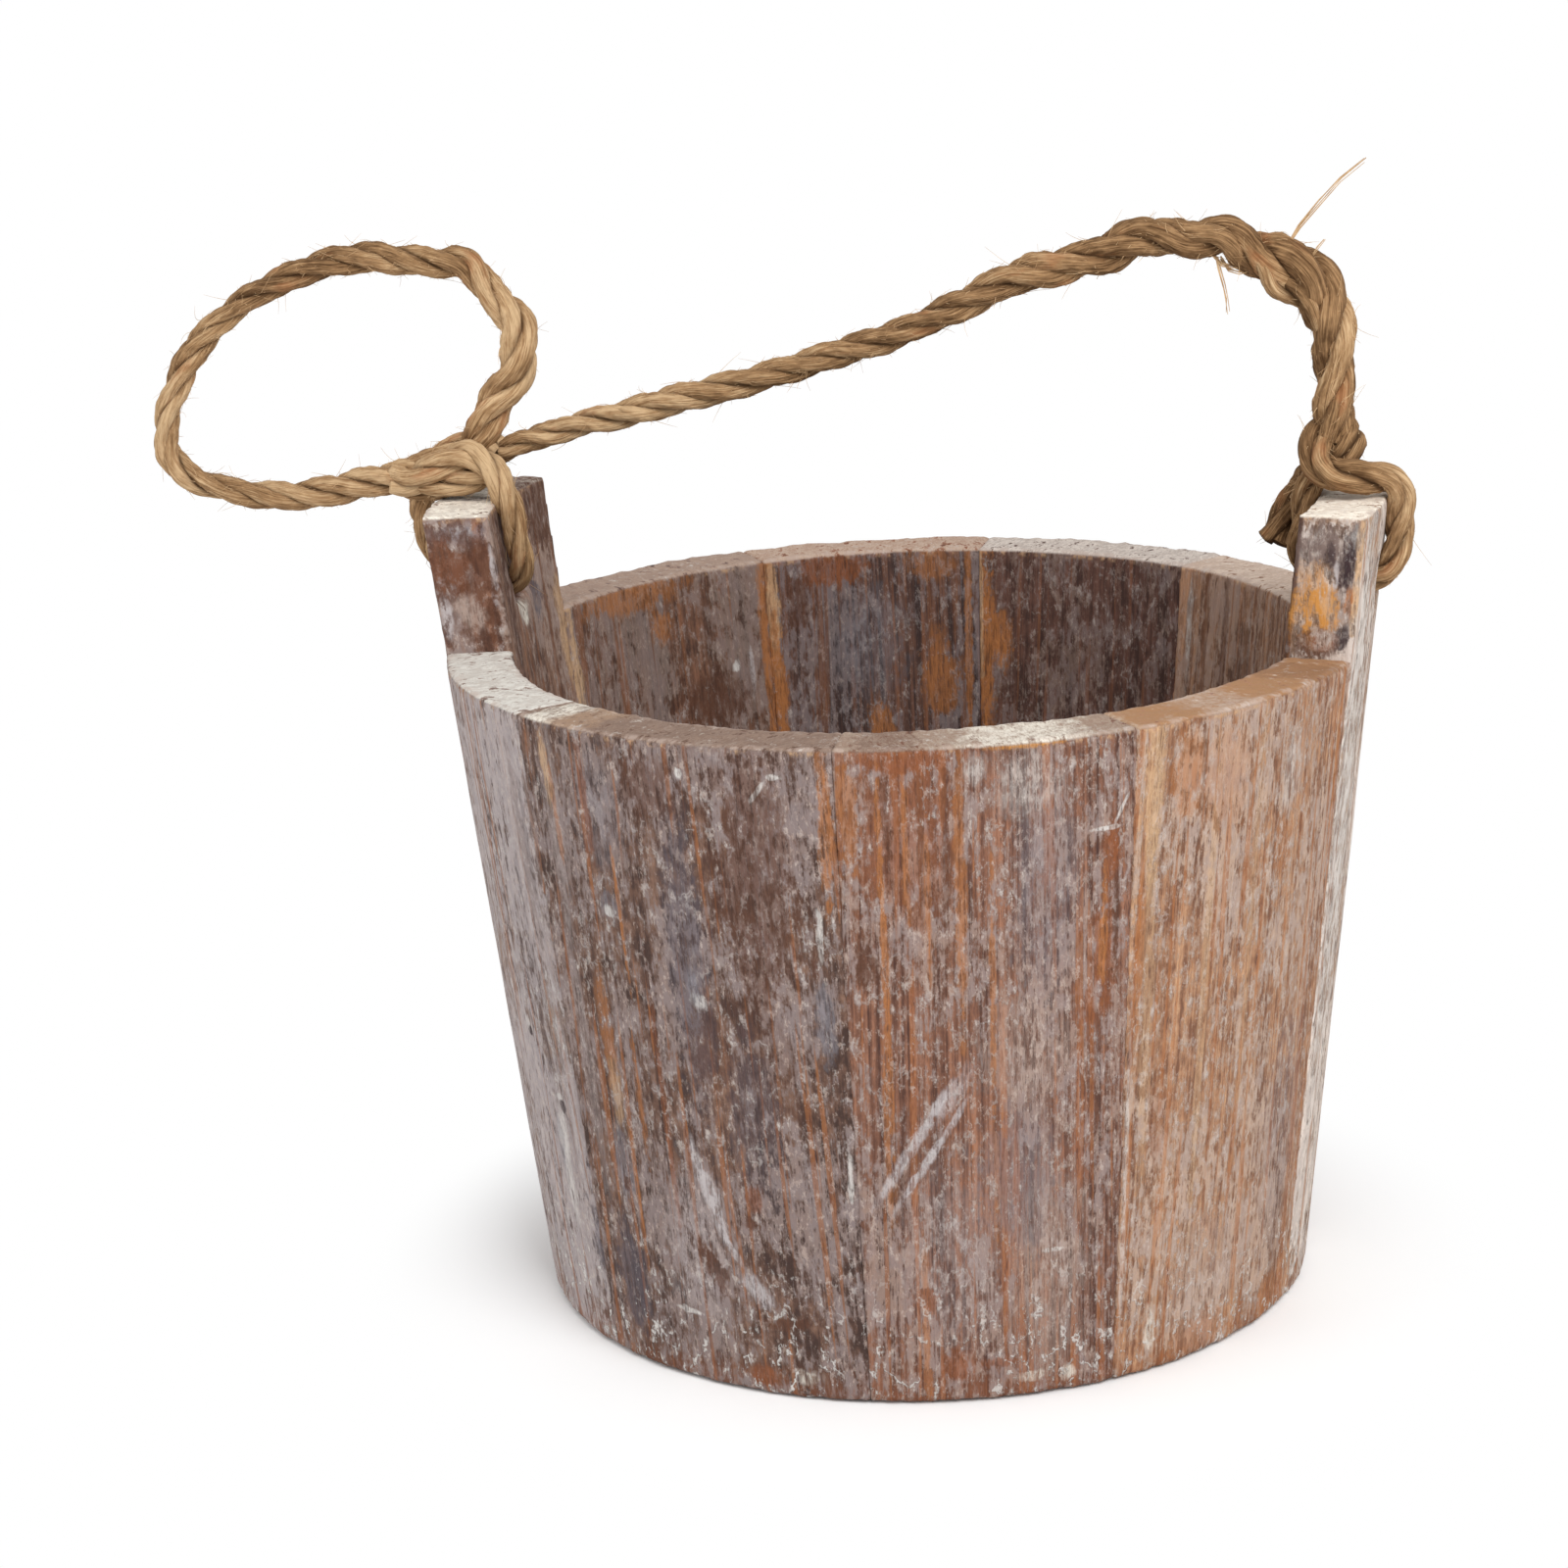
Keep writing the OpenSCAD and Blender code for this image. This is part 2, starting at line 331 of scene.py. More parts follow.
@dataclass(frozen=True)
class BucketForm:
    """The sizes that the staves and the floor share, in metres."""

    base_radius: float
    flare: float
    thickness: float
    rim: float
    groove_floor: float
    groove_roof: float
    groove_radius: float

    FOOT_SHARE = 0.05
    CLEARANCE = 0.2 * MM

    @classmethod
    def measured(cls) -> BucketForm:
        """Read the bucket's form from one stave and the floor.

        Returns:
            The form.
        """
        reach = [(math.hypot(point.x, point.y), point.z) for point in points_of("back_stave_2")]
        high_radius, high = max(reach)
        low_radius, low = max(place for place in reach if place[1] < high * cls.FOOT_SHARE)
        inner_radius, _ = min(reach)
        flare = (high_radius - low_radius) / (high - low)
        floor_low, floor_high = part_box("middle_floor_board")
        return cls(
            base_radius=low_radius - flare * low,
            flare=flare,
            thickness=low_radius - inner_radius,
            rim=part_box("back_stave_2")[1].z,
            groove_floor=floor_low.z,
            groove_roof=floor_high.z + cls.CLEARANCE,
            groove_radius=floor_high.x + cls.CLEARANCE,
        )

    @property
    def lean(self) -> float:
        """Angle by which the wall leans outwards, in radians."""
        return math.atan(self.flare)

    def radius(self, height: float) -> float:
        """Radius of the wall's outside at a height."""
        return self.base_radius + self.flare * height


# Ropes


def linked(name: str, data: bpy.types.ID | None) -> bpy.types.Object:
    """Add an object to the scene.

    Args:
        name: Name of the object.
        data: What it shows, if anything.

    Returns:
        The object.
    """
    made = bpy.data.objects.new(name, data)
    bpy.context.scene.collection.objects.link(made)
    return made


def tube_piece(
    name: str, blocks: Sequence[np.ndarray], faces: Sequence[Sequence[int]]
) -> bpy.types.Object:
    """Make a piece from blocks of points and the faces between them.

    Args:
        name: Name of the piece.
        blocks: Its points, in millimetres.
        faces: Its faces, as numbers of points.

    Returns:
        The piece.
    """
    mesh = bpy.data.meshes.new(name)
    mesh.from_pydata((np.vstack(blocks) * MM).tolist(), [], faces)
    return linked(name, mesh)


def coordinates(piece: bpy.types.Object) -> np.ndarray:
    """Read the points of a piece.

    Args:
        piece: The piece.

    Returns:
        The points in metres, a row each.
    """
    points = np.empty(len(piece.data.vertices) * 3, np.float32)
    piece.data.vertices.foreach_get("co", points)
    return points.reshape(-1, 3)


@dataclass(frozen=True)
class Lay:
    """How a rope is laid: its strands, the length of one turn, and the share of its width in them."""

    strands: int = 3
    pitch: float = 31.0
    strand_share: float = 0.262
    helix_share: float = 0.245
    yarns: int = 5
    yarn_pitch: float = 11.0

    @property
    def reach(self) -> float:
        """Share of the rope's width from its middle to the outside of a strand."""
        return self.helix_share + self.strand_share


class Wander(Enum):
    """What varies along a rope: by how much, and over how many millimetres."""

    WIDTH = (0.04, 9)
    TURN = (0.25, 14)
    SWELL = (0.06, 6)
    TINT = (0.05, 20)

    def along(self, random: np.random.Generator, count: int) -> np.ndarray:
        """Slowly changing values for the points of a rope."""
        amount, reach = self.value
        return amount * drift(random, count, reach / Rope.STEP)


@dataclass
class Rope:
    """A length of laid rope along a route.

    Attributes:
        name: Name of the piece.
        route: Points that the rope's middle follows, in millimetres.
        widths: Diameters in millimetres, with the share of the length at which each is reached.
        seed: Number that sets its irregularities.
        lay: How it is laid.
        turn: Turn of its strands at the start, in degrees.
        fray: Length at the far end over which the strands open, in millimetres.
        settle: How far the slack strands lie off the route, in millimetres along X and Z, with
            the share of the length at which each is reached.
        paleness: How much paler than usual it is, with the share of the length.
        line: Even points along its middle, in millimetres, once it is built.
        piece: The built piece.
    """

    name: str
    route: Sequence[Point]
    widths: Sequence[tuple[float, float]]
    seed: int
    lay: Lay = field(default_factory=Lay)
    turn: float = 0.0
    fray: float = 0.0
    settle: Sequence[tuple[float, float, float]] = ((0, 0, 0), (1, 0, 0))
    paleness: Sequence[tuple[float, float]] = ((0, 0), (1, 0))
    line: np.ndarray = field(init=False)
    piece: bpy.types.Object = field(init=False)

    STEP = 0.55
    SIDES = 18
    SPAN_POINTS = 24
    PARTING = 0.04
    SWELLING = 0.1
    RIDGE = 0.055
    ROUGHNESS = 0.028

    def centreline(self) -> np.ndarray:
        """Lay a smooth curve through the route's points.

        Returns:
            Even points along it, in millimetres.
        """
        points = np.array(self.route, float)
        padded = np.vstack([2 * points[0] - points[1], points, 2 * points[-1] - points[-2]])
        runs = [self._span(*padded[index : index + 4]) for index in range(len(points) - 1)]
        line = spaced(np.vstack([*runs, points[-1:]]), self.STEP)
        places, sideways, upwards = zip(*self.settle)
        share = np.linspace(0, 1, len(line))
        line[:, 0] += eased(share, places, sideways)
        line[:, 2] += eased(share, places, upwards)
        return spaced(line, self.STEP)

    def _span(
        self, before: np.ndarray, start: np.ndarray, end: np.ndarray, after: np.ndarray
    ) -> np.ndarray:
        """Points on a centripetal curve between two points of the route.

        Args:
            before: The point before the curve.
            start: Where it starts.
            end: Where it ends.
            after: The point after it.

        Returns:
            The points, without the end.
        """
        pairs = ((before, start), (start, end), (end, after))
        knots = np.cumsum([0.0] + [math.sqrt(np.linalg.norm(b - a)) for a, b in pairs])
        place = np.linspace(knots[1], knots[2], self.SPAN_POINTS, endpoint=False)[:, None]

        def between(a: np.ndarray, b: np.ndarray, low: int, high: int) -> np.ndarray:
            """Mix two points by where the place lies between two knots."""
            near, far = knots[low], knots[high]
            return (far - place) / (far - near) * a + (place - near) / (far - near) * b

        first = between(before, start, 0, 1)
        second = between(start, end, 1, 2)
        third = between(end, after, 2, 3)
        return between(between(first, second, 0, 2), between(second, third, 1, 3), 1, 2)

    def build(self) -> bpy.types.Object:
        """Make the rope's mesh.

        Returns:
            The piece.
        """
        random = np.random.default_rng(self.seed)
        self.line = self.centreline()
        count = len(self.line)
        length = np.arange(count) * self.STEP
        share = length / length[-1]
        width = eased(share, *zip(*self.widths)) / (2 * self.lay.reach)
        width = width * (1 + Wander.WIDTH.along(random, count))
        pale = eased(share, *zip(*self.paleness))
        points: list[np.ndarray] = []
        faces: list[list[int]] = []
        corners: list[tuple[float, float]] = []
        outness: list[np.ndarray] = []
        tint: list[np.ndarray] = []
        for strand in range(self.lay.strands):
            middle, rings = self._strand(random, strand, width, length)
            first = sum(len(block) for block in points)
            points += [rings.reshape(-1, 3), middle[:1], middle[-1:]]
            faces += tube_faces(count, self.SIDES, first)
            corners += tube_corners(length, self.SIDES, strand)
            for number, end in enumerate((0, count - 1)):
                hub = first + count * self.SIDES + number
                faces += cap_faces(first + end * self.SIDES, self.SIDES, hub, end == 0)
                corners += [(float(length[end]), float(strand))] * 3 * self.SIDES
            # How far each point lies out from the rope's middle; the finish paints shade where this is low,
            # in the grooves between strands.
            away = np.linalg.norm(rings - self.line[:, None, :], axis=2) / (width[:, None] / 2)
            outness += [away.reshape(-1), np.zeros(2)]
            paler = Wander.TINT.along(random, count) + pale
            tint += [np.repeat(paler, self.SIDES), np.zeros(2)]
        self.piece = tube_piece(self.name, points, faces)
        mesh = self.piece.data
        layer = mesh.uv_layers.new(name="along")
        layer.data.foreach_set("uv", np.array(corners, np.float32).reshape(-1))
        for name, blocks in (("outness", outness), ("tint", tint)):
            attribute = mesh.attributes.new(name, "FLOAT", "POINT")
            attribute.data.foreach_set("value", np.concatenate(blocks).astype(np.float32))
        mesh.polygons.foreach_set("use_smooth", [True] * len(mesh.polygons))
        LOG.info("%s: %.1f mm of rope", self.name, length[-1])
        return self.piece

    def _opening(self, length: np.ndarray) -> np.ndarray:
        """Tell how far the strands have come apart.

        Args:
            length: Distance along the rope at each point.

        Returns:
            A value from 0 to 1 for each point.
        """
        if not self.fray:
            return np.zeros(len(length))
        return np.clip((length - length[-1] + self.fray) / self.fray, 0, 1)

    def _strand(
        self, random: np.random.Generator, strand: int, width: np.ndarray, length: np.ndarray
    ) -> tuple[np.ndarray, np.ndarray]:
        """Lay one strand, whose yarns show as soft ridges that wind round it.

        Args:
            random: Source of irregularities.
            strand: Number of the strand.
            width: The rope's width at each point.
            length: Distance along the rope at each point.

        Returns:
            The strand's middle line, and the points of its rings.
        """
        lay, count, opening = self.lay, len(length), self._opening(length)
        side, up, _ = frames_along(self.line)
        turn = (
            2 * math.pi * (length / lay.pitch + strand / lay.strands)
            + math.radians(self.turn)
            + Wander.TURN.along(random, count)
        )
        outward = side * np.cos(turn)[:, None] + up * np.sin(turn)[:, None]
        helix = width * (lay.helix_share + self.PARTING * opening**1.5)
        middle = self.line + outward * helix[:, None]
        swell = 1 + Wander.SWELL.along(random, count)
        radius = width * lay.strand_share * swell * (1 + self.SWELLING * opening)
        tangent = np.gradient(middle, axis=0)
        tangent /= np.linalg.norm(tangent, axis=1)[:, None]
        across = outward - tangent * np.sum(outward * tangent, axis=1)[:, None]
        across /= np.linalg.norm(across, axis=1)[:, None]
        binormal = np.cross(tangent, across)
        angle = np.linspace(0, 2 * math.pi, self.SIDES, endpoint=False)[None, :]
        yarn = lay.yarns * angle - 2 * math.pi * length[:, None] / lay.yarn_pitch
        rough = random.standard_normal((count, self.SIDES))
        rough = (rough + np.roll(rough, 1, 0) + np.roll(rough, -1, 0)) / 3
        reach = radius[:, None] * (1 + self.RIDGE * np.cos(yarn) + self.ROUGHNESS * rough)
        rings = (
            middle[:, None, :]
            + (reach * np.cos(angle))[..., None] * across[:, None, :]
            + (reach * np.sin(angle))[..., None] * binormal[:, None, :]
        )
        return middle, rings


def spaced(points: np.ndarray, step: float) -> np.ndarray:
    """Take even points along a line of points.

    Args:
        points: The line.
        step: Distance between the new points.

    Returns:
        The new points, with the line's own ends.
    """
    run = np.concatenate([[0], np.cumsum(np.linalg.norm(np.diff(points, axis=0), axis=1))])
    places = np.linspace(0, run[-1], max(2, round(run[-1] / step) + 1))
    return np.column_stack([np.interp(places, run, points[:, axis]) for axis in range(3)])


def eased(share: np.ndarray, places: Sequence[float], values: Sequence[float]) -> np.ndarray:
    """Values that change smoothly from one place to the next.

    Args:
        share: Where values are wanted.
        places: Places at which the values are known, rising.
        values: The values there.

    Returns:
        The values.
    """
    low = np.clip(np.searchsorted(places, share, side="right") - 1, 0, len(places) - 2)
    start, end = np.asarray(places, float)[low], np.asarray(places, float)[low + 1]
    rise = np.clip((share - start) / (end - start), 0, 1)
    rise = rise * rise * (3 - 2 * rise)
    return np.asarray(values, float)[low] * (1 - rise) + np.asarray(values, float)[low + 1] * rise


def drift(random: np.random.Generator, count: int, reach: float) -> np.ndarray:
    """Slowly changing values from -1 to 1.

    Args:
        random: Source of the values.
        count: How many values.
        reach: How many values one change takes.

    Returns:
        The values.
    """
    knots = random.uniform(-1, 1, max(4, int(count / reach) + 3))
    # The places stop just short of the last knot, so that each has a knot after it.
    place = np.linspace(0, len(knots) - 1.001, count)
    low = place.astype(int)
    share = place - low
    share = share * share * (3 - 2 * share)
    return knots[low] * (1 - share) + knots[low + 1] * share


def frames_along(line: np.ndarray) -> tuple[np.ndarray, np.ndarray, np.ndarray]:
    """Directions sideways, up and along at each point of a line, which turn as little as they can.

    Args:
        line: The points.

    Returns:
        The three directions at each point.
    """
    ahead = np.gradient(line, axis=0)
    ahead /= np.linalg.norm(ahead, axis=1)[:, None]
    side = np.zeros_like(line)
    start = np.array([0.0, 1.0, 0.0])
    for index, direction in enumerate(ahead):
        start = start - direction * (start @ direction)
        start /= np.linalg.norm(start)
        side[index] = start
    return side, np.cross(ahead, side), ahead


def tube_faces(rings: int, sides: int, first: int) -> list[list[int]]:
    """Faces of a tube's wall.

    Args:
        rings: Number of rings.
        sides: Points on a ring.
        first: Number of the first point.

    Returns:
        The faces.
    """
    faces = []
    for ring in range(rings - 1):
        low = first + ring * sides
        for side in range(sides):
            beside = (side + 1) % sides
            faces.append([low + side, low + beside, low + sides + beside, low + sides + side])
    return faces


def tube_corners(length: np.ndarray, sides: int, strand: int) -> list[tuple[float, float]]:
    """Map places of a tube's faces: the length along it, and the turn round it.

    Args:
        length: Distance along the rope of each ring.
        sides: Points on a ring.
        strand: Number of the strand, which sets it apart from the others.

    Returns:
        One place for each corner of each face.
    """
    corners = []
    for low, high in zip(length[:-1], length[1:]):
        for side in range(sides):
            left, right = strand + side / sides, strand + (side + 1) / sides
            corners += [(low, left), (low, right), (high, right), (high, left)]
    return corners


def cap_faces(first: int, sides: int, hub: int, start: bool) -> list[list[int]]:
    """Triangles that close the end of a tube.

    Args:
        first: Number of the end ring's first point.
        sides: Points on the ring.
        hub: Number of the point in the middle.
        start: Whether it is the tube's start.

    Returns:
        The triangles.
    """
    pairs = [(first + side, first + (side + 1) % sides) for side in range(sides)]
    return [[hub, b, a] if start else [hub, a, b] for a, b in pairs]


@dataclass(frozen=True)
class RopeFinish:
    """Dry natural fibre: a dull tan ground with dark and pale fibres, and painted shade in the grooves
    between its strands.
    """

    # The darkest fibre tone, which also paints the shade in the grooves between strands.
    dark_fibre_and_groove_shade: Colour = tone(84, 58, 34)
    dull: Colour = tone(126, 95, 64)
    ground: Colour = tone(164, 128, 90)
    pale: Colour = tone(208, 176, 136)
    rusty: Colour = tone(160, 100, 62)

    GIRTH = 2
    TWIST = 26

    def material(self) -> bpy.types.Material:
        """Build the material of the laid ropes.

        Returns:
            The material.
        """
        bench = Bench(bpy.data.materials.new("rope_fibre"))
        mapped = bench.node("ShaderNodeUVMap", {"uv_map": "along"})
        run = bench.node("ShaderNodeSeparateXYZ", None, {0: mapped})
        twist = (run.sibling(1) + run / self.TWIST) * (2 * math.pi)
        ahead, aside = bench.maths("COSINE", twist) * self.GIRTH, bench.maths("SINE", twist) * self.GIRTH
        place = bench.node("ShaderNodeCombineXYZ", None, {0: ahead, 1: aside, 2: run})
        fibres = bench.noise(place, (0.30, 0.30, 6.0), 1, detail=3, rough=0.68)
        yarns = bench.noise(place, (1.2, 1.2, 8.0), 2, detail=2)
        patches = bench.noise(place, (5, 5, 12), 3, detail=3)
        blots = bench.noise(place, (2.2, 2.2, 3.6), 4, detail=3, rough=0.65)
        outness = bench.node("ShaderNodeAttribute", {"attribute_name": "outness"}, output="Fac")
        tint = bench.node("ShaderNodeAttribute", {"attribute_name": "tint"}, output="Fac")
        value = fibres * 0.5 + yarns * 0.25 + blots * 0.25 + patches * 0.15 - 0.075 + tint
        colour = bench.ramp(
            value, (0.36, self.dark_fibre_and_groove_shade), (0.44, self.dull), (0.52, self.ground), (0.64, self.pale)
        )
        colour = bench.blend(patches.step(0.56, 0.7) * 0.45, colour, self.rusty)
        # Painted shade: points that lie deep between the strands, where outness is low, are darkened.
        colour = bench.blend(outness.step(0.84, 0.5) * 0.85, colour, self.dark_fibre_and_groove_shade)
        relief = fibres * 0.9 + yarns * 0.6
        return bench.shade(colour, 0.92, relief, 0.5 * MM, Specular_IOR_Level=0.2)

    def loose(self) -> bpy.types.Material:
        """Build the material of the loose fibres.

        Returns:
            The material.
        """
        bench = Bench(bpy.data.materials.new("loose_fibre"))
        mixed = bench.noise(bench.point(), (4 * MM, 4 * MM, 4 * MM), 5)
        colour = bench.ramp(mixed, (0.35, self.ground), (0.65, self.pale))
        return bench.shade(colour, 0.85, mixed, 0.01 * MM, Specular_IOR_Level=0.2)


@dataclass
class Fuzz:
    """Loose fibres that stand off a rope, as thin tapering tubes.

    Attributes:
        rope: The rope that they stand on.
        count: How many.
        longest: Length of the longest, in millimetres.
        thickness: Their thickness at the root, in millimetres.
        strays: Routes of single long fibres, in millimetres.
    """

    rope: Rope
    count: int
    longest: float = 5.0
    thickness: float = 0.13
    strays: Sequence[Sequence[Point]] = ()

    SEED_STEP = 50
    RINGS = 5
    STRAYS_A_ROUTE = 4
    STRAY_SPREAD = 0.16
    STRAY_GIRTH = 3
    SHORTEST = 0.14
    RARITY = 5
    LIFT = (0.1, 0.8)
    CURL = 0.35
    TIP = 0.35

    def build(self) -> bpy.types.Object:
        """Make the fibres as one mesh.

        Returns:
            The piece.
        """
        random = np.random.default_rng(self.rope.seed + self.SEED_STEP)
        points = coordinates(self.rope.piece) / MM
        blocks = [self._fibre(self._run(random, points), self.thickness) for _ in range(self.count)]
        for route in self.strays:
            for _ in range(self.STRAYS_A_ROUTE):
                spread = np.cumsum(random.normal(0, self.STRAY_SPREAD, (len(route), 3)), axis=0)
                run = np.array(route, float) + spread
                blocks.append(self._fibre(run, self.STRAY_GIRTH * self.thickness))
        faces, first = [], 0
        for block in blocks:
            last = first + 3 * (len(block) - 1)
            faces += tube_faces(len(block), 3, first)
            faces += [[first + 2, first + 1, first], [last, last + 1, last + 2]]
            first = last + 3
        piece = tube_piece(f"{self.rope.name}_fibres", [block.reshape(-1, 3) for block in blocks], faces)
        LOG.info("%s: %d fibres", piece.name, len(blocks))
        return piece

    def _run(self, random: np.random.Generator, points: np.ndarray) -> np.ndarray:
        """Lay one fibre, which starts on the rope and curls away from it.

        Args:
            random: Source of its place and way.
            points: The points of the rope's surface.

        Returns:
            Points along the fibre.
        """
        line = self.rope.line
        place = points[random.integers(len(points))]
        nearest = int(np.argmin(np.linalg.norm(line - place, axis=1)))
        outward = place - line[nearest]
        outward /= max(np.linalg.norm(outward), 1e-6)
        ahead = line[min(nearest + 1, len(line) - 1)] - line[max(nearest - 1, 0)]
        ahead /= np.linalg.norm(ahead)
        way = ahead * random.choice([-1, 1]) + np.cross(ahead, outward) * random.uniform(-1, 1)
        way += outward * random.uniform(*self.LIFT)
        way /= np.linalg.norm(way)
        reach = self.longest * (self.SHORTEST + (1 - self.SHORTEST) * random.uniform(0, 1) ** self.RARITY)
        share = np.linspace(0, 1, self.RINGS)[:, None]
        return place + way * reach * share + random.normal(0, self.CURL, 3) * reach * share**2

    def _fibre(self, run: np.ndarray, thickness: float) -> np.ndarray:
        """Make a fibre that thins towards its tip.

        Args:
            run: Points along it.
            thickness: Its thickness at the root, in millimetres.

        Returns:
            Rings of three points.
        """
        side, up, _ = frames_along(run)
        radius = thickness / 2 * np.linspace(1, self.TIP, len(run))[:, None]
        angles = [0, 2 * math.pi / 3, 4 * math.pi / 3]
        rings = [run + (side * math.cos(angle) + up * math.sin(angle)) * radius for angle in angles]
        return np.stack(rings, axis=1)


@dataclass
class Rigging:
    """The handle, the slack loop, and the ropes of the two knots.

    Routes are in millimetres, with heights taken from the handle's swing axis. Those of the free
    ropes repeat the part's.
    """

    finish: RopeFinish = field(default_factory=RopeFinish)
    fibre: bpy.types.Material = field(init=False)
    loose: bpy.types.Material = field(init=False)

    DIAMETER = 8.0
    SWING = 181.1
    HANDLE_EXIT = (92, 0, 8.4)
    SLACK_EXIT = (-93, 0, 6)
    HANDLE = (
        (91.6, 0, 2.5), HANDLE_EXIT, (92, 0, 16.4), (92, 0, 23), (91, 0, 29), (89, 0, 34),
        (85, -1, 38), (79, -1, 42), (71, -2, 45), (62, -2, 47), (52, -2, 47), (40, -3, 44),
        (27, -3, 39), (13, -3, 33), (-1, -2, 28), (-16, -2, 22), (-32, -1, 17), (-48, -1, 13),
        (-62, 0, 9), (-72, 0, 6), (-81, 0, 2), (-89.2, 0, 0),
    )
    HANDLE_WIDTHS = (
        (0, 7.4), (0.035, 9.6), (0.07, 8.8), (0.095, 9.6), (0.12, 11.4), (0.16, 11.6), (0.19, 11.2),
        (0.225, 9.8), (0.26, 8.6), (0.31, 8.4), (0.35, 9.0), (0.39, 8.0), (0.43, 8.4), (0.47, 7.4),
        (0.51, 7.4), (0.56, 6.5), (0.66, 6.4), (0.74, 6.6), (0.80, 6.9), (0.88, 6.3), (0.96, 5.8),
        (1, 5.4),
    )
    HANDLE_SETTLE = (
        (0, 0, 0), (0.12, 0, 0), (0.165, 0.5, 0.7), (0.21, -0.8, -0.6), (0.245, 0, 1.0),
        (0.285, 0, -1.4), (0.32, 0, -0.6),
        (0.36, 0, -2.4), (0.4, 0, -1.9), (0.46, 0, 0), (0.52, 0, -0.8), (0.58, 0, -1.8),
        (0.66, 0, -0.2), (0.86, 0, 0.2), (0.93, 0, 1.4), (0.97, 0, 2.8), (1, 0, 1.4),
    )
    HANDLE_PALENESS = (
        (0, -0.05), (0.12, -0.01), (0.2, -0.03), (0.3, -0.05), (0.45, 0), (0.6, -0.02), (0.75, 0.02),
        (0.85, 0.09), (1, 0.07),
    )
    KINK = (
        (69.4, -3.5, 45.6), (73.6, -3.8, 43.2), (77.2, -3.8, 39.8), (80.4, -3.6, 36.6), (84.4, -3.2, 34.4),
        (88, -2.8, 31), (90.4, -2.4, 26.4), (91.4, -1.6, 21.6),
    )
    STRAYS = (
        ((82, -2, 43), (85.4, -3, 48.2), (89.6, -4, 53), (94, -5, 57.6), (99, -6, 61.6)),
        ((68.2, -2, 42), (69, -3, 39.4), (69.8, -3.5, 36.6), (70.6, -4, 33.6), (70.8, -4, 30.8)),
        ((67.6, -2, 42.4), (69.4, -2.6, 40.6), (72, -3, 40.2), (75, -3, 40.6), (77, -3, 40.4)),
        ((69, -2, 42), (70.6, -2.4, 39.6), (73.2, -3, 39), (76, -3, 39.8), (78, -3, 40)),
        ((86.2, -2, 38.6), (87.8, -3, 41.6), (89, -4, 43.8), (90.4, -4, 45.4)),
    )
    SLACK = (
        (-96.4, 0.6, 1), SLACK_EXIT, (-90, 1, 13), (-86, 1, 20), (-84, 2, 26), (-85, 3, 32),
        (-89, 3, 38), (-95, 4, 42), (-103, 4, 44), (-112, 4, 45), (-122, 3, 45), (-132, 2, 43),
        (-142, 1, 39), (-151, 0, 33), (-159, -2, 25), (-164, -3, 16), (-167, -4, 8), (-167, -4, 3),
        (-165, -4, -1), (-160, -4, -5), (-154, -4, -7), (-146, -3, -8), (-134, -1, -8),
        (-121.4, 0, -5.5), (-113.5, 0, -4.1), (-107, 0, -3),
    )
    SLACK_WIDTHS = (
        (0, 7), (0.04, 8.2), (0.08, 8.8), (0.12, 9.2), (0.16, 8.4), (0.2, 7.6), (0.3, 7), (0.42, 6.8),
        (0.5, 6.2), (0.58, 6.6), (0.66, 6), (0.74, 6.2), (0.82, 6.6), (0.92, 7), (1, 7.6),
    )
    SLACK_SETTLE = (
        (0, 0, 0), (0.04, 0, 0), (0.1, 1.6, 0), (0.14, 0, 0), (0.19, -2.6, -0.4), (0.24, 0, -0.2),
        (0.28, 0, -1.5), (0.36, 0.2, -1.2), (0.44, 1.2, -1.3), (0.52, 1.4, -0.4), (0.6, 1.4, 0),
        (0.68, 2, 0.6), (0.76, 0.4, 1.4), (0.84, 0, 0.4), (0.92, 0, 0), (1, 0, 0),
    )
    SLACK_PALENESS = (
        (0, 0.03), (0.15, 0.09), (0.27, 0.03), (0.36, -0.04), (0.46, -0.02), (0.54, 0.03), (0.65, 0.05),
        (0.8, 0.04), (1, 0.05),
    )
    RIGHT_STANDING = (
        (91.6, 0, 6.5), (91.4, -0.2, 3), (90, -0.8, -0.6), (87.6, -0.9, -4.4), (86, -0.6, -8.4),
        (85.4, -0.3, -13), (84.9, 0, -18.6), (85.6, 0, -23.2), (88.4, 0, -25.8), (94, 0, -26.1),
    )
    RIGHT_HITCH = (
        (94, 0, -26.1), (99.2, 0, -26), (102.8, 0, -24.4), (104.6, 0, -20.6), (105.4, -0.3, -15.6),
        (105.8, -0.9, -11), (105.4, -1.8, -7.4), (103.4, -3.2, -4.8), (100.4, -4.8, -3.8),
        (96.8, -6, -3.3), (93, -6.4, -3.1), (89.8, -5.2, -1.4), (88.4, -2.6, 1.4), (88.3, 0.6, 4),
        (89.4, 3.4, 5.2), (92, 4.4, 5.4), (94.8, 2.8, 4.9), (95.9, 0, 3.6), (95.4, -2.8, 1.6),
        (93.2, -2.4, -1.2), (90.2, 1.4, -3), (87, 4.4, -4.4), (84.2, 5.8, -7.8), (82, 6.2, -11.8),
        (80, 6.2, -15.8), (78.4, 6, -19.2),
    )
    LEFT_FRONT = (
        (-113.4, -1.2, -4.6), (-109, -2.6, -4.2), (-104, -3.8, -1.8), (-99, -4.2, 0.6),
        (-94.2, -5, 1.6), (-90.4, -6.4, 0), (-87.4, -7.8, -4), (-85.2, -8.6, -9.8),
        (-84, -8.8, -16), (-83.9, -7.6, -22.2), (-86.6, -3.8, -26.6), (-91, -0.8, -27),
        (-96, 0, -26.1),
    )
    LEFT_BACK = (
        (-89.6, 0.2, 1), (-93.4, 3.2, 0.4), (-98.4, 3.2, -2), (-103, 1.2, -4), (-106.4, -0.6, -6.8),
        (-107.9, -0.6, -11), (-107.3, 0, -16), (-105.6, 0, -21), (-102, 0, -25), (-96, 0, -26.1),
    )
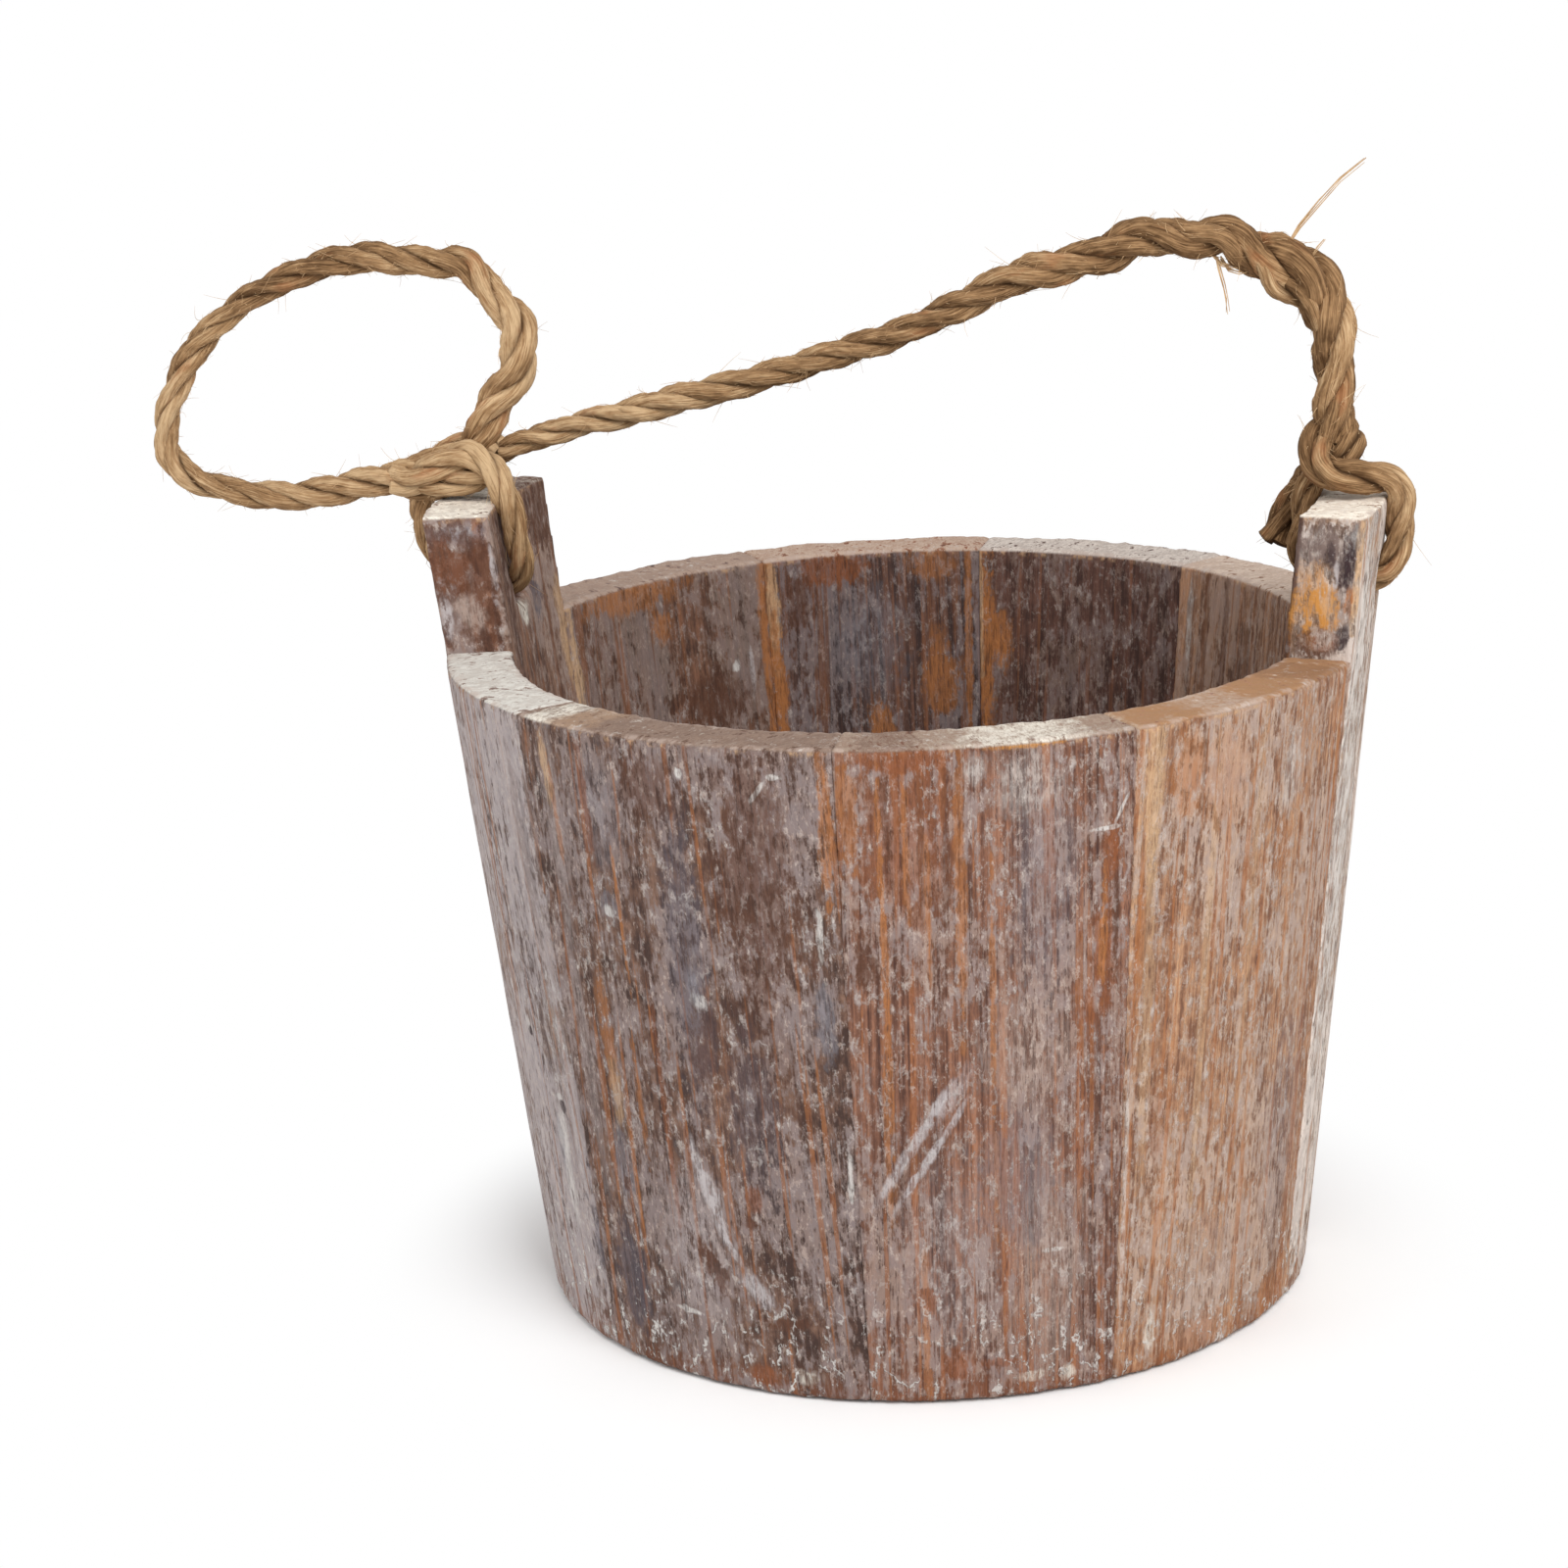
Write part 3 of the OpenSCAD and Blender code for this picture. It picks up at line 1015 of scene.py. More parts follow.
    LEFT_LOWER = (
        (-90.2, -2.6, -2.2), (-93.8, -4.4, -3.6), (-98, -4.4, -4.8), (-102.6, -3, -5.8),
        (-107.6, -1.6, -6.4), (-111.4, -0.6, -5.6), (-114, 0, -4.4),
    )
    LEFT_TOP = (
        (-89.4, 0.4, 1.8), (-93.6, 1.4, 3.4), (-98.8, 0.8, 2.6), (-104, -0.4, 0.4), (-109, -0.2, -2.2),
        (-113.6, 0.4, -3.6),
    )

    EVEN = ((0, 6.0), (1, 6.0))
    TAIL_WIDTHS = (
        (0, 6), (0.12, 6.6), (0.24, 6.6), (0.35, 7.4), (0.48, 7.6), (0.58, 5.8), (0.85, 6), (1, 6.8),
    )
    FRONT_WIDTHS = ((0, 7), (0.25, 7.2), (0.45, 6.4), (0.7, 6), (1, 6))
    KINK_WIDTHS = ((0, 2.6), (0.3, 5.4), (0.6, 5.8), (1, 3))
    USUAL = ((0, 0), (1, 0))
    # Paleness of the right knot's ropes: a little paler at first, then darker towards the end.
    DARKER_TOWARDS_END = ((0, 0), (0.25, 0.02), (0.4, -0.04), (0.6, -0.06), (1, -0.08))
    BRIGHT = ((0, 0.09), (0.4, 0.1), (0.55, 0.03), (1, -0.02))
    KNOT_ROPES = (
        ("right_knot_standing", RIGHT_STANDING, EVEN, 21, 0, DARKER_TOWARDS_END, ("right_ear_loop",)),
        ("right_knot_hitch", RIGHT_HITCH, TAIL_WIDTHS, 22, 2, DARKER_TOWARDS_END, ("right_knot", "rope_tail")),
        ("left_knot_front", LEFT_FRONT, FRONT_WIDTHS, 23, 0, BRIGHT, ("left_ear_loop",)),
        ("left_knot_back", LEFT_BACK, EVEN, 24, 0, USUAL, ()),
        ("left_knot_lower", LEFT_LOWER, EVEN, 25, 0, BRIGHT, ("left_knot",)),
        ("left_knot_top", LEFT_TOP, EVEN, 26, 0, BRIGHT, ()),
    )
    TURN_A_SEED = 20
    KNOT_FIBRES = 260
    KNOT_FIBRE_LENGTH = 4.5

    def raised(self, route: Sequence[Point]) -> list[Point]:
        """A route with its heights taken from the ground instead of the swing axis."""
        return [(x, y, z + self.SWING) for x, y, z in route]

    def build(self) -> None:
        self.fibre, self.loose = self.finish.material(), self.finish.loose()
        self._handle()
        self._slack_loop()
        self._knots()

    def _handle(self) -> None:
        """Make the handle, with the kink at its bend."""
        rope = Rope(
            "handle_rope",
            self.raised(self.HANDLE),
            self.HANDLE_WIDTHS,
            seed=11,
            settle=self.HANDLE_SETTLE,
            paleness=self.HANDLE_PALENESS,
        )
        kink = Rope(
            "handle_kink",
            self.raised(self.KINK),
            self.KINK_WIDTHS,
            seed=13,
            lay=Lay(strands=2, pitch=24, strand_share=0.27, helix_share=0.23),
        )
        rope.build()
        kink.build()
        fibres = Fuzz(rope, 1500, strays=[self.raised(route) for route in self.STRAYS]).build()
        self._dress("handle", [rope.piece, kink.piece], fibres)
        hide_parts("rope_handle")
        self._declare(rope, self.HANDLE_EXIT)

    def _slack_loop(self) -> None:
        """Make the slack loop at the left knot."""
        rope = Rope(
            "slack_rope",
            self.raised(self.SLACK),
            self.SLACK_WIDTHS,
            seed=12,
            turn=40,
            settle=self.SLACK_SETTLE,
            paleness=self.SLACK_PALENESS,
        )
        rope.build()
        fibres = Fuzz(rope, 1300).build()
        self._dress("loop", [rope.piece], fibres)
        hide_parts("slack_loop")
        self._declare(rope, self.SLACK_EXIT)

    def _declare(self, rope: Rope, way_out: Point) -> None:
        """Work out, in metres, where a free rope leaves its knot and the points along its line; the results
        are not kept.

        Args:
            rope: The rope.
            way_out: Where it leaves its knot, in millimetres.
        """
        tuple(place * MM for place in self.raised([way_out])[0])
        [tuple(point) for point in (rope.line * MM).tolist()]

    def _knots(self) -> None:
        """Make the ropes of the two knots, with the tail."""
        for name, route, widths, seed, fray, paleness, nodes in self.KNOT_ROPES:
            turn = seed * self.TURN_A_SEED
            rope = Rope(name, self.raised(route), widths, seed, fray=fray, turn=turn, paleness=paleness)
            rope.build()
            fibres = Fuzz(rope, self.KNOT_FIBRES, longest=self.KNOT_FIBRE_LENGTH).build()
            self._dress("bucket", [rope.piece], fibres)
            if nodes:
                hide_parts(*nodes)

    def _dress(self, body: str, ropes: list[bpy.types.Object], fibres: bpy.types.Object) -> None:
        """Give ropes and their loose fibres a material, and let them ride on a body.

        Args:
            body: Name of the body.
            ropes: The laid ropes.
            fibres: The loose fibres on them.
        """
        for piece in (*ropes, fibres):
            piece.data.materials.append(self.loose if piece is fibres else self.fibre)
            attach(piece, body)


# Shaping and wearing wood


class Kind(Enum):
    """What is picked in edit mode."""

    VERTICES = "verts"
    EDGES = "edges"
    FACES = "faces"


class EditMode:
    """Edit mode on one object, which starts with nothing selected."""

    SHARP = 0.8

    def __init__(self, piece: bpy.types.Object) -> None:
        """Keep the object."""
        self.piece = piece

    def __enter__(self) -> EditMode:
        """Enter edit mode and deselect everything.

        Returns:
            The mode itself.
        """
        bpy.context.view_layer.objects.active = self.piece
        bpy.ops.object.mode_set(mode="EDIT")
        bpy.ops.mesh.select_all(action="DESELECT")
        return self

    def __exit__(self, *_: object) -> None:
        """Leave edit mode."""
        bpy.ops.object.mode_set(mode="OBJECT")

    def pick(self, kind: Kind, test: Callable[[object], bool]) -> None:
        """Select the elements of a kind that pass a test, and nothing else.

        Args:
            kind: What is picked.
            test: Says whether an element is wanted.
        """
        bpy.context.tool_settings.mesh_select_mode = [kind is each for each in Kind]
        bpy.ops.mesh.select_all(action="DESELECT")
        mesh = bmesh.from_edit_mesh(self.piece.data)
        for element in getattr(mesh, kind.value):
            if test(element):
                element.select_set(True)
        mesh.select_flush_mode()
        bmesh.update_edit_mesh(self.piece.data)

    @staticmethod
    def everything() -> None:
        """Select the whole mesh."""
        bpy.ops.mesh.select_all(action="SELECT")

    def face_outwards(self) -> None:
        """Turn every face of the closed mesh outwards."""
        self.everything()
        bpy.ops.mesh.normals_make_consistent(inside=False)

    def bevel(self, width: float, sharp: Callable[[object], bool] = lambda edge: True) -> None:
        """Bevel the sharp edges that pass a test.

        Args:
            width: Width of the bevel.
            sharp: Says whether a sharp edge is wanted.
        """
        self.pick(
            Kind.EDGES,
            lambda edge: len(edge.link_faces) == 2
            and edge.calc_face_angle(0) > self.SHARP
            and sharp(edge),
        )
        bpy.ops.mesh.bevel(offset=width, segments=2, affect="EDGES")


def centre_of(element: object) -> Vector:
    """Middle of an edge or a face."""
    corners = element.verts
    return sum((corner.co for corner in corners), Vector()) / len(corners)


def only(piece: bpy.types.Object) -> None:
    """Make a piece the only selected and the active one.

    Args:
        piece: The piece.
    """
    bpy.ops.object.select_all(action="DESELECT")
    piece.select_set(True)
    bpy.context.view_layer.objects.active = piece


def stand_in(piece: bpy.types.Object, node: str, material: bpy.types.Material) -> None:
    """Dress a finished board, and let it stand for its node on the bucket.

    Args:
        piece: The board.
        node: Name of the node.
        material: The board's material.
    """
    piece.data.materials.clear()
    piece.data.materials.append(material)
    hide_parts(node)
    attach(piece, "bucket")
    LOG.info("%s: %d faces", piece.name, len(piece.data.polygons))


@dataclass(frozen=True)
class Wear:
    """How wood has worn: the grid that it is remade on, and its warp, grain and chips, in metres."""

    cell: float = 0.8 * MM
    warp: float = 0.5 * MM
    grain: float = 0.3 * MM
    chips: float = 0.5 * MM

    LEVELS = 12
    CONTRAST = 1.4
    WARP_SPOTS = (30 * MM, 24 * MM, 70 * MM)
    GRAIN_SPOTS = (3.4 * MM, 2.2 * MM, 46 * MM)
    CHIP_SPOTS = (4 * MM, 4 * MM, 5 * MM)
    HALF = 0.5
    RARE = 0.72

    def weather(
        self,
        piece: bpy.types.Object,
        place: Matrix,
        shown: Callable[[np.ndarray], np.ndarray],
        edges: Callable[[np.ndarray], np.ndarray],
    ) -> None:
        """Remake a piece on a fine grid and wear its surface.

        Args:
            piece: The piece.
            place: Where the pattern lies, with its Z axis along the grain.
            shown: Gives how far each point may wear, from 0 in the joints to 1.
            edges: Gives how near a free edge each point lies, from 0 to 1.
        """
        only(piece)
        remesh = piece.modifiers.new("grid", "REMESH")
        remesh.mode = "VOXEL"
        remesh.voxel_size = self.cell
        bpy.ops.object.modifier_apply(modifier=remesh.name)
        points = coordinates(piece)
        self._group(piece, "shown", shown(points))
        self._group(piece, "edges", edges(points) * shown(points))
        self._displace(piece, place, self.WARP_SPOTS, self.warp, 2, "shown", self.HALF)
        self._displace(piece, place, self.GRAIN_SPOTS, self.grain, 3, "shown", self.HALF)
        self._displace(piece, place, self.CHIP_SPOTS, self.chips, 2, "edges", self.RARE)
        bpy.ops.object.shade_smooth()

    def _group(self, piece: bpy.types.Object, name: str, weights: np.ndarray) -> None:
        """Add a vertex group whose weights are rounded to a few levels.

        Args:
            piece: The piece.
            name: Name of the group.
            weights: Weight of each point.
        """
        group = piece.vertex_groups.new(name=name)
        rounded = np.rint(np.clip(weights, 0, 1) * self.LEVELS).astype(int)
        for level in range(1, self.LEVELS + 1):
            group.add(np.nonzero(rounded == level)[0].tolist(), level / self.LEVELS, "REPLACE")

    def _displace(
        self,
        piece: bpy.types.Object,
        place: Matrix,
        size: Sequence[float],
        depth: float,
        layers: int,
        group: str,
        still: float,
    ) -> None:
        """Move the surface in and out by a cloud whose spots have a given size.

        Args:
            piece: The piece.
            place: Where the pattern lies.
            size: Size of the spots along the pattern's axes.
            depth: Distance from the highest point to the lowest.
            layers: Finer layers of the cloud.
            group: Vertex group that limits it.
            still: Value of the cloud that moves nothing.
        """
        guide = linked("guide", None)
        guide.matrix_world = place @ Matrix.Diagonal((*size, 1))
        bpy.context.view_layer.update()
        cloud = bpy.data.textures.new("cloud", "CLOUDS")
        cloud.noise_scale = 1.0
        cloud.noise_depth = layers
        cloud.contrast = self.CONTRAST
        change = piece.modifiers.new("wear", "DISPLACE")
        change.texture = cloud
        change.texture_coords = "OBJECT"
        change.texture_coords_object = guide
        change.strength = depth
        change.mid_level = still
        change.vertex_group = group
        bpy.ops.object.modifier_apply(modifier=change.name)
        bpy.data.objects.remove(guide)
        bpy.data.textures.remove(cloud)


def ramp_up(values: np.ndarray, low: float, high: float) -> np.ndarray:
    """Rise smoothly from 0 at low to 1 at high, as Signal.step does."""
    share = np.clip((values - low) / (high - low), 0, 1)
    return share * share * (3 - 2 * share)


# Marks and finish of the staves


class Mark(Enum):
    """Kinds of mark on the wood, each with its colour."""

    BARE = tone(168, 108, 62)
    RUST = tone(136, 80, 48)
    UMBER = tone(92, 58, 42)
    STAIN = tone(58, 42, 44)
    HAZE = tone(128, 124, 130)
    SLATE = tone(92, 86, 94)
    WASH = tone(208, 203, 198)
    CREAM = tone(226, 219, 206)
    # This tone is real dust in the listed marks; the finish also uses it for painted sheen in light flecks
    # and for a painted highlight along the top's edges.
    DUST = tone(186, 167, 156)
    MAUVE = tone(156, 142, 138)
    TAN = tone(200, 164, 128)
    AMBER = tone(196, 136, 68)
    DUSK = tone(110, 92, 86)
    MIST = tone(184, 176, 176)

    @property
    def shade(self) -> Colour:
        """The mark's colour where it has worn thin."""
        red, green, blue, alpha = self.value
        return (red * 0.55, green * 0.55, blue * 0.55, alpha)


BARE, RUST, UMBER, STAIN, HAZE, SLATE, WASH, CREAM, DUST, MAUVE, TAN, AMBER, DUSK, MIST = Mark


class Side(Enum):
    """Faces of a stave; an edge is a side of an ear above the rim."""

    OUTSIDE = "outside"
    INSIDE = "inside"
    EDGE = "edge"
    TOP = "top"


@dataclass(frozen=True)
class Patch:
    """A listed mark.

    Attributes:
        mark: Its kind.
        place: Where it is round the bucket, in degrees, or how deep behind the wall's outside it
            is on an edge, in millimetres below 0.
        height: Where it is up the wall, in millimetres.
        across: Half its width, in millimetres.
        rise: Half its height, in millimetres.
        strength: How much of it covers the wood.
        slant: How far it leans sideways for each millimetre up.
    """

    mark: Mark
    place: float
    height: float
    across: float
    rise: float
    strength: float
    slant: float = 0.0


@dataclass(frozen=True)
class StaveLook:
    """The tones of one stave.

    Attributes:
        seed: Number that moves its patterns.
        dark: Tone of its dark grain.
        body: Its usual tone.
        light: Tone of its light grain.
        coat: Tone of the worn wash.
        rim: Tone of its top.
        haze: Share of the wash.
        lines: Share of long lines in its grain.
        bare: Share of bare orange streaks.
        flecks: Share of white residue.
        within: Tones of the dark grain, the light grain and the wash on the inner wall.
        edge: Marks on the side of an ear, each with the values of a patch in their order.
        outside: Marks on the outer wall.
        inside: Marks on the inner wall.
        top: Marks across the top: each one's kind, place, half width and strength.
    """

    seed: float
    dark: Colour
    body: Colour
    light: Colour
    coat: Colour
    rim: Colour
    haze: float = 0.5
    lines: float = 0.3
    bare: float = 0.4
    flecks: float = 0.6
    within: tuple[Colour, Colour, Colour] = (tone(52, 36, 30), tone(112, 78, 58), tone(114, 96, 88))
    edge: Rows = ()
    outside: Rows = ()
    inside: Rows = ()
    top: Rows = ()

    def patches(self) -> Iterator[tuple[Side, Patch]]:
        """Every listed mark, from the lowest layer up, with the face that it lies on.

        Yields:
            The face and the mark.
        """
        walls = ((Side.EDGE, self.edge), (Side.OUTSIDE, self.outside), (Side.INSIDE, self.inside))
        for side, rows in walls:
            for row in rows:
                yield side, Patch(*row)
        for mark, place, across, strength in self.top:
            yield Side.TOP, Patch(mark, place, 0, across, 1, strength)


@dataclass(frozen=True)
class Clouds:
    """Cloudy values that the finish of a stave is mixed from."""

    long: Signal
    fine: Signal
    band: Signal
    area: Signal
    coat: Signal
    chip: Signal
    mottle: Signal
    streak: Signal
    curl: Signal

    SHAPES = (
        ((2.6, 0.8, 50), 3, 0.62),
        ((1.3, 0.5, 5.5), 3, 0.72),
        ((10, 4.6, 120), 2, 0.5),
        ((30, 19, 36), 4, 0.62),
        ((2.8, 1.8, 4.2), 4, 0.72),
        ((1.9, 1.2, 2.2), 3, 0.72),
        ((5, 3.6, 6), 4, 0.65),
        ((9, 1.9, 80), 2, 0.5),
        ((11, 9, 10), 4, 0.6),
    )

    @classmethod
    def on(cls, bench: Bench, place: Signal, seed: float) -> Clouds:
        """Make the values, each from its size in millimetres, its layers and their strength.

        Args:
            bench: The material's nodes.
            place: Where the surface point is.
            seed: Number that moves the patterns.

        Returns:
            The values.
        """
        return cls(
            *(
                bench.noise(place, size, seed + number, detail, rough)
                for number, (size, detail, rough) in enumerate(cls.SHAPES)
            )
        )


class StaveFinish:
    """Pine under a thin wash that has worn off in places, on one stave.

    Attributes:
        look: The stave's tones.
        middle: Angle of the stave's middle, in degrees.
        half: Half the wall's thickness, in millimetres.
        top: Height of the stave's top, in millimetres.
        bench: The material's nodes.
        clouds: The cloudy values.
        ahead: Distance of a point from the bucket's middle towards the stave's, in millimetres.
        height: Its height above the ground, in millimetres.
        slope: Its distance to the side, as a share of the distance ahead.
        depth: Its distance from the wall's outside, in millimetres, below 0 in the wall.
        inside: Share of the inner wall, from 0 to 1.
        shares: Share of each face, from 0 to 1.
    """

    PALE_MARKS = (WASH, MIST, CREAM)

    def __init__(self, form: StaveForm, bucket: BucketForm, look: StaveLook) -> None:
        """Start the material, and tell where its points lie on the stave.

        Args:
            form: Where the stave stands.
            bucket: The bucket's form.
            look: The stave's tones.
        """
        self.look, self.middle = look, form.middle
        self.half, self.top = bucket.thickness / MM / 2, form.top / MM
        self.bench = bench = Bench(bpy.data.materials.new(f"{form.node}_wood"))
        turn = math.radians(form.middle)
        self.clouds = Clouds.on(bench, bench.board((0, bucket.lean, turn)), look.seed)
        self.ahead = bench.node("ShaderNodeSeparateXYZ", None, {0: bench.board((0, 0, turn))})
        aside, self.height = self.ahead.sibling(1), self.ahead.sibling(2)
        radius = bench.maths("SQRT", self.ahead * self.ahead + aside * aside)
        self.depth = radius - self.height * bucket.flare - bucket.base_radius / MM
        self.slope = aside / self.ahead
        self.inside = self.depth.step(1.8 - 2 * self.half, 0.9 - 2 * self.half)
        spread = math.tan(math.radians(form.end - form.start) / 2)
        gap = (spread - abs(self.slope)) * self.ahead
        uneven = self.height + (self.clouds.mottle - 0.5) * 0.8
        on_top = uneven.step(self.top - 0.95, self.top - 0.35)
        below = 1 - on_top
        self.shares = {
            Side.OUTSIDE: (1 - self.inside) * below,
            Side.INSIDE: self.inside * below,
            Side.EDGE: gap.step(1.5, 0.7) * below,
            Side.TOP: on_top,
        }

    def material(self) -> bpy.types.Material:
        """Build the stave's material.

        Returns:
            The material.
        """
        clouds = self.clouds
        cover, colour = self._wash(*self._wood())
        colour = self._marks(self._rim(colour))
        residue = self._residue()
        colour = self.bench.blend(residue, colour, WASH.value)
        relief = clouds.long * 0.3 + clouds.fine * 0.45 + clouds.mottle * 0.2 + cover * 0.22
        relief = (relief + residue * 0.3) * (1 - self.shares[Side.TOP] * 0.7)
        roughness = 0.94 - clouds.fine * 0.15
        return self.bench.shade(colour, roughness, relief, 0.8 * MM, Specular_IOR_Level=0.3)

    def _wood(self) -> tuple[Signal, Signal]:
        """Colour the bare wood, with its grain and orange streaks.

        Returns:
            The share of the streaks, and the colour.
        """
        bench, look, clouds = self.bench, self.look, self.clouds
        dark, light, _ = look.within
        grain = clouds.long * look.lines + clouds.band * 0.2 + clouds.coat * 0.15
        grain = grain + clouds.mottle * (0.65 - look.lines)
        wood = bench.ramp(grain, (0.43, look.dark), (0.5, look.body), (0.58, look.light))
        wood = bench.blend(self.inside, wood, bench.ramp(grain, (0.43, dark), (0.58, light)))
        limit = 0.61 - 0.07 * look.bare
        worn = clouds.streak.step(limit, limit + 0.05)
        bared = bench.ramp(clouds.fine, (0.4, RUST.value), (0.6, BARE.value))
        return worn, bench.blend(worn * (0.55 - self.inside * 0.3), wood, bared)

    def _wash(self, worn: Signal, wood: Signal) -> tuple[Signal, Signal]:
        """Lay the worn wash over the wood, with pits, dabs of painted sheen and a foot that turns browner
        towards the bottom.

        Args:
            worn: Share of the orange streaks, which the wash has left.
            wood: Colour of the wood.

        Returns:
            The share of the wash, and the colour.
        """
        bench, clouds, inside = self.bench, self.clouds, self.inside
        fine, coat, mottle = clouds.fine, clouds.coat, clouds.mottle
        strokes = (fine * 0.2 + clouds.long * 0.14 - 0.17) * (1 - inside * 0.7)
        cover = coat * 0.5 + mottle * 0.16 + strokes + (clouds.area - 0.5) * 0.42 + 0.17
        edge = 0.56 - 0.12 * self.look.haze
        cover = cover.step(edge - 0.045, edge + 0.045) * (1 - worn * 0.7) * (0.82 - inside * 0.2)
        veil = bench.blend(inside, self.look.coat, self.look.within[2])
        veil = bench.blend(mottle.step(0.42, 0.6) * 0.4, veil, HAZE.value)
        colour = bench.blend(cover, wood, veil)
        pits = fine.step(0.42, 0.34) * coat.step(0.57, 0.46) * (1 - inside * 0.6)
        colour = bench.blend(pits * 0.52, colour, STAIN.value)
        # Painted sheen: small light flecks in a dust tone, laid over the walls, fewer on the inner wall.
        sheen_dabs = clouds.chip.step(0.53, 0.62) * coat.step(0.44, 0.54) * (0.5 - inside * 0.22)
        colour = bench.blend(sheen_dabs, colour, DUST.value)
        # Browner towards the bottom of the wall.
        browner_foot = (self.height + mottle * 22).step(21, 9) * coat.step(0.56, 0.47)
        return cover, bench.blend(browner_foot * 0.45, colour, RUST.value)

    def _rim(self, wall: Signal) -> Signal:
        """Colour the top, its pale hem, which is a painted highlight along both edges of the top, and the
        rubbed arris below it, which is partly worn wood and partly a painted highlight.

        Args:
            wall: Colour of the walls.

        Returns:
            The colour.
        """
        bench, look, on_top = self.bench, self.look, self.shares[Side.TOP]
        fine, coat, mottle = self.clouds.fine, self.clouds.coat, self.clouds.mottle
        crown = bench.ramp(
            mottle * 0.4 + self.clouds.chip * 0.25 + coat * 0.35,
            (0.36, look.dark),
            (0.42, look.body),
            (0.46, look.rim),
            (0.57, look.rim),
            (0.66, CREAM.value),
        )
        crown = bench.blend((mottle * 0.5 + fine * 0.5).step(0.46, 0.55) * 0.34, crown, look.body)
        # Painted highlight: a pale band along both edges of the top.
        hem_highlight = abs(self.depth + self.half).step(self.half - 2.6, self.half - 0.6)
        crown = bench.blend(hem_highlight * mottle.step(0.44, 0.56) * 0.5, crown, DUST.value)
        colour = bench.blend(on_top, wall, crown)
        # The arris below the top: partly worn wood, partly a painted highlight along the edge.
        arris = self.height.step(self.top - 2.0, self.top - 1.0) * (1 - on_top)
        rubbed_and_highlit = bench.blend(coat.step(0.45, 0.55), TAN.value, look.body)
        return bench.blend(arris * mottle.step(0.46, 0.58) * 0.6, colour, rubbed_and_highlit)

    def _marks(self, colour: Signal) -> Signal:
        """Lay the listed marks.

        Args:
            colour: Colour below them.

        Returns:
            The colour with the marks.
        """
        fine, coat, mottle = self.clouds.fine, self.clouds.coat, self.clouds.mottle
        ragged = (mottle - 0.5) * 2.2 + (coat - 0.5) * 1.6
        thin = coat * 0.5 + fine * 0.5
        pale_share = coat.step(0.42, 0.55) * 0.45 + fine.step(0.38, 0.54) * 0.35 + 0.2
        dark_share = fine.step(0.36, 0.52) * 0.45 + mottle.step(0.40, 0.52) * 0.25 + 0.3
        for side, patch in self.look.patches():
            share = (self._distance(side, patch) + ragged).step(1.1, 0.6)
            share = share * (pale_share if patch.mark in self.PALE_MARKS else dark_share)
            ink = self.bench.ramp(thin, (0.38, patch.mark.shade), (0.5, patch.mark.value))
            colour = self.bench.blend(share * patch.strength * self.shares[side], colour, ink)
        return colour

    def _distance(self, side: Side, patch: Patch) -> Signal:
        """Tell how far a mark's middle is.

        Args:
            side: The face that the mark lies on.
            patch: The mark.

        Returns:
            The distance, as a share of half the mark's size.
        """
        rise = self.height - patch.height
        if side is Side.EDGE:
            across = self.depth - patch.place
        else:
            lean = math.tan(math.radians(patch.place - self.middle))
            across = (self.slope - lean) * self.ahead
        if patch.slant:
            across = across - rise * patch.slant
        across = across / patch.across
        if side is Side.TOP:
            return abs(across)
        along = rise / patch.rise
        return self.bench.maths("SQRT", across * across + along * along)

    def _residue(self) -> Signal:
        """Scatter white residue, in flakes all over and in curled lines at the foot.

        Returns:
            Its share.
        """
        clouds = self.clouds
        place = clouds.area.step(0.56, 0.44) * 0.65 + 0.35
        foot = self.height.step(34, 8)
        flakes = (clouds.chip * 0.5 + clouds.coat * 0.5).step(0.575, 0.63) * clouds.mottle.step(0.46, 0.56)
        lines = abs(clouds.curl - 0.5).step(0.024, 0.008) * clouds.coat.step(0.48, 0.56)
        share = (flakes * place * 0.6).greater(lines * (place * 0.3 + foot * 0.8))
        return share * (self.look.flecks * 1.5) * (1 - self.inside * 0.5)


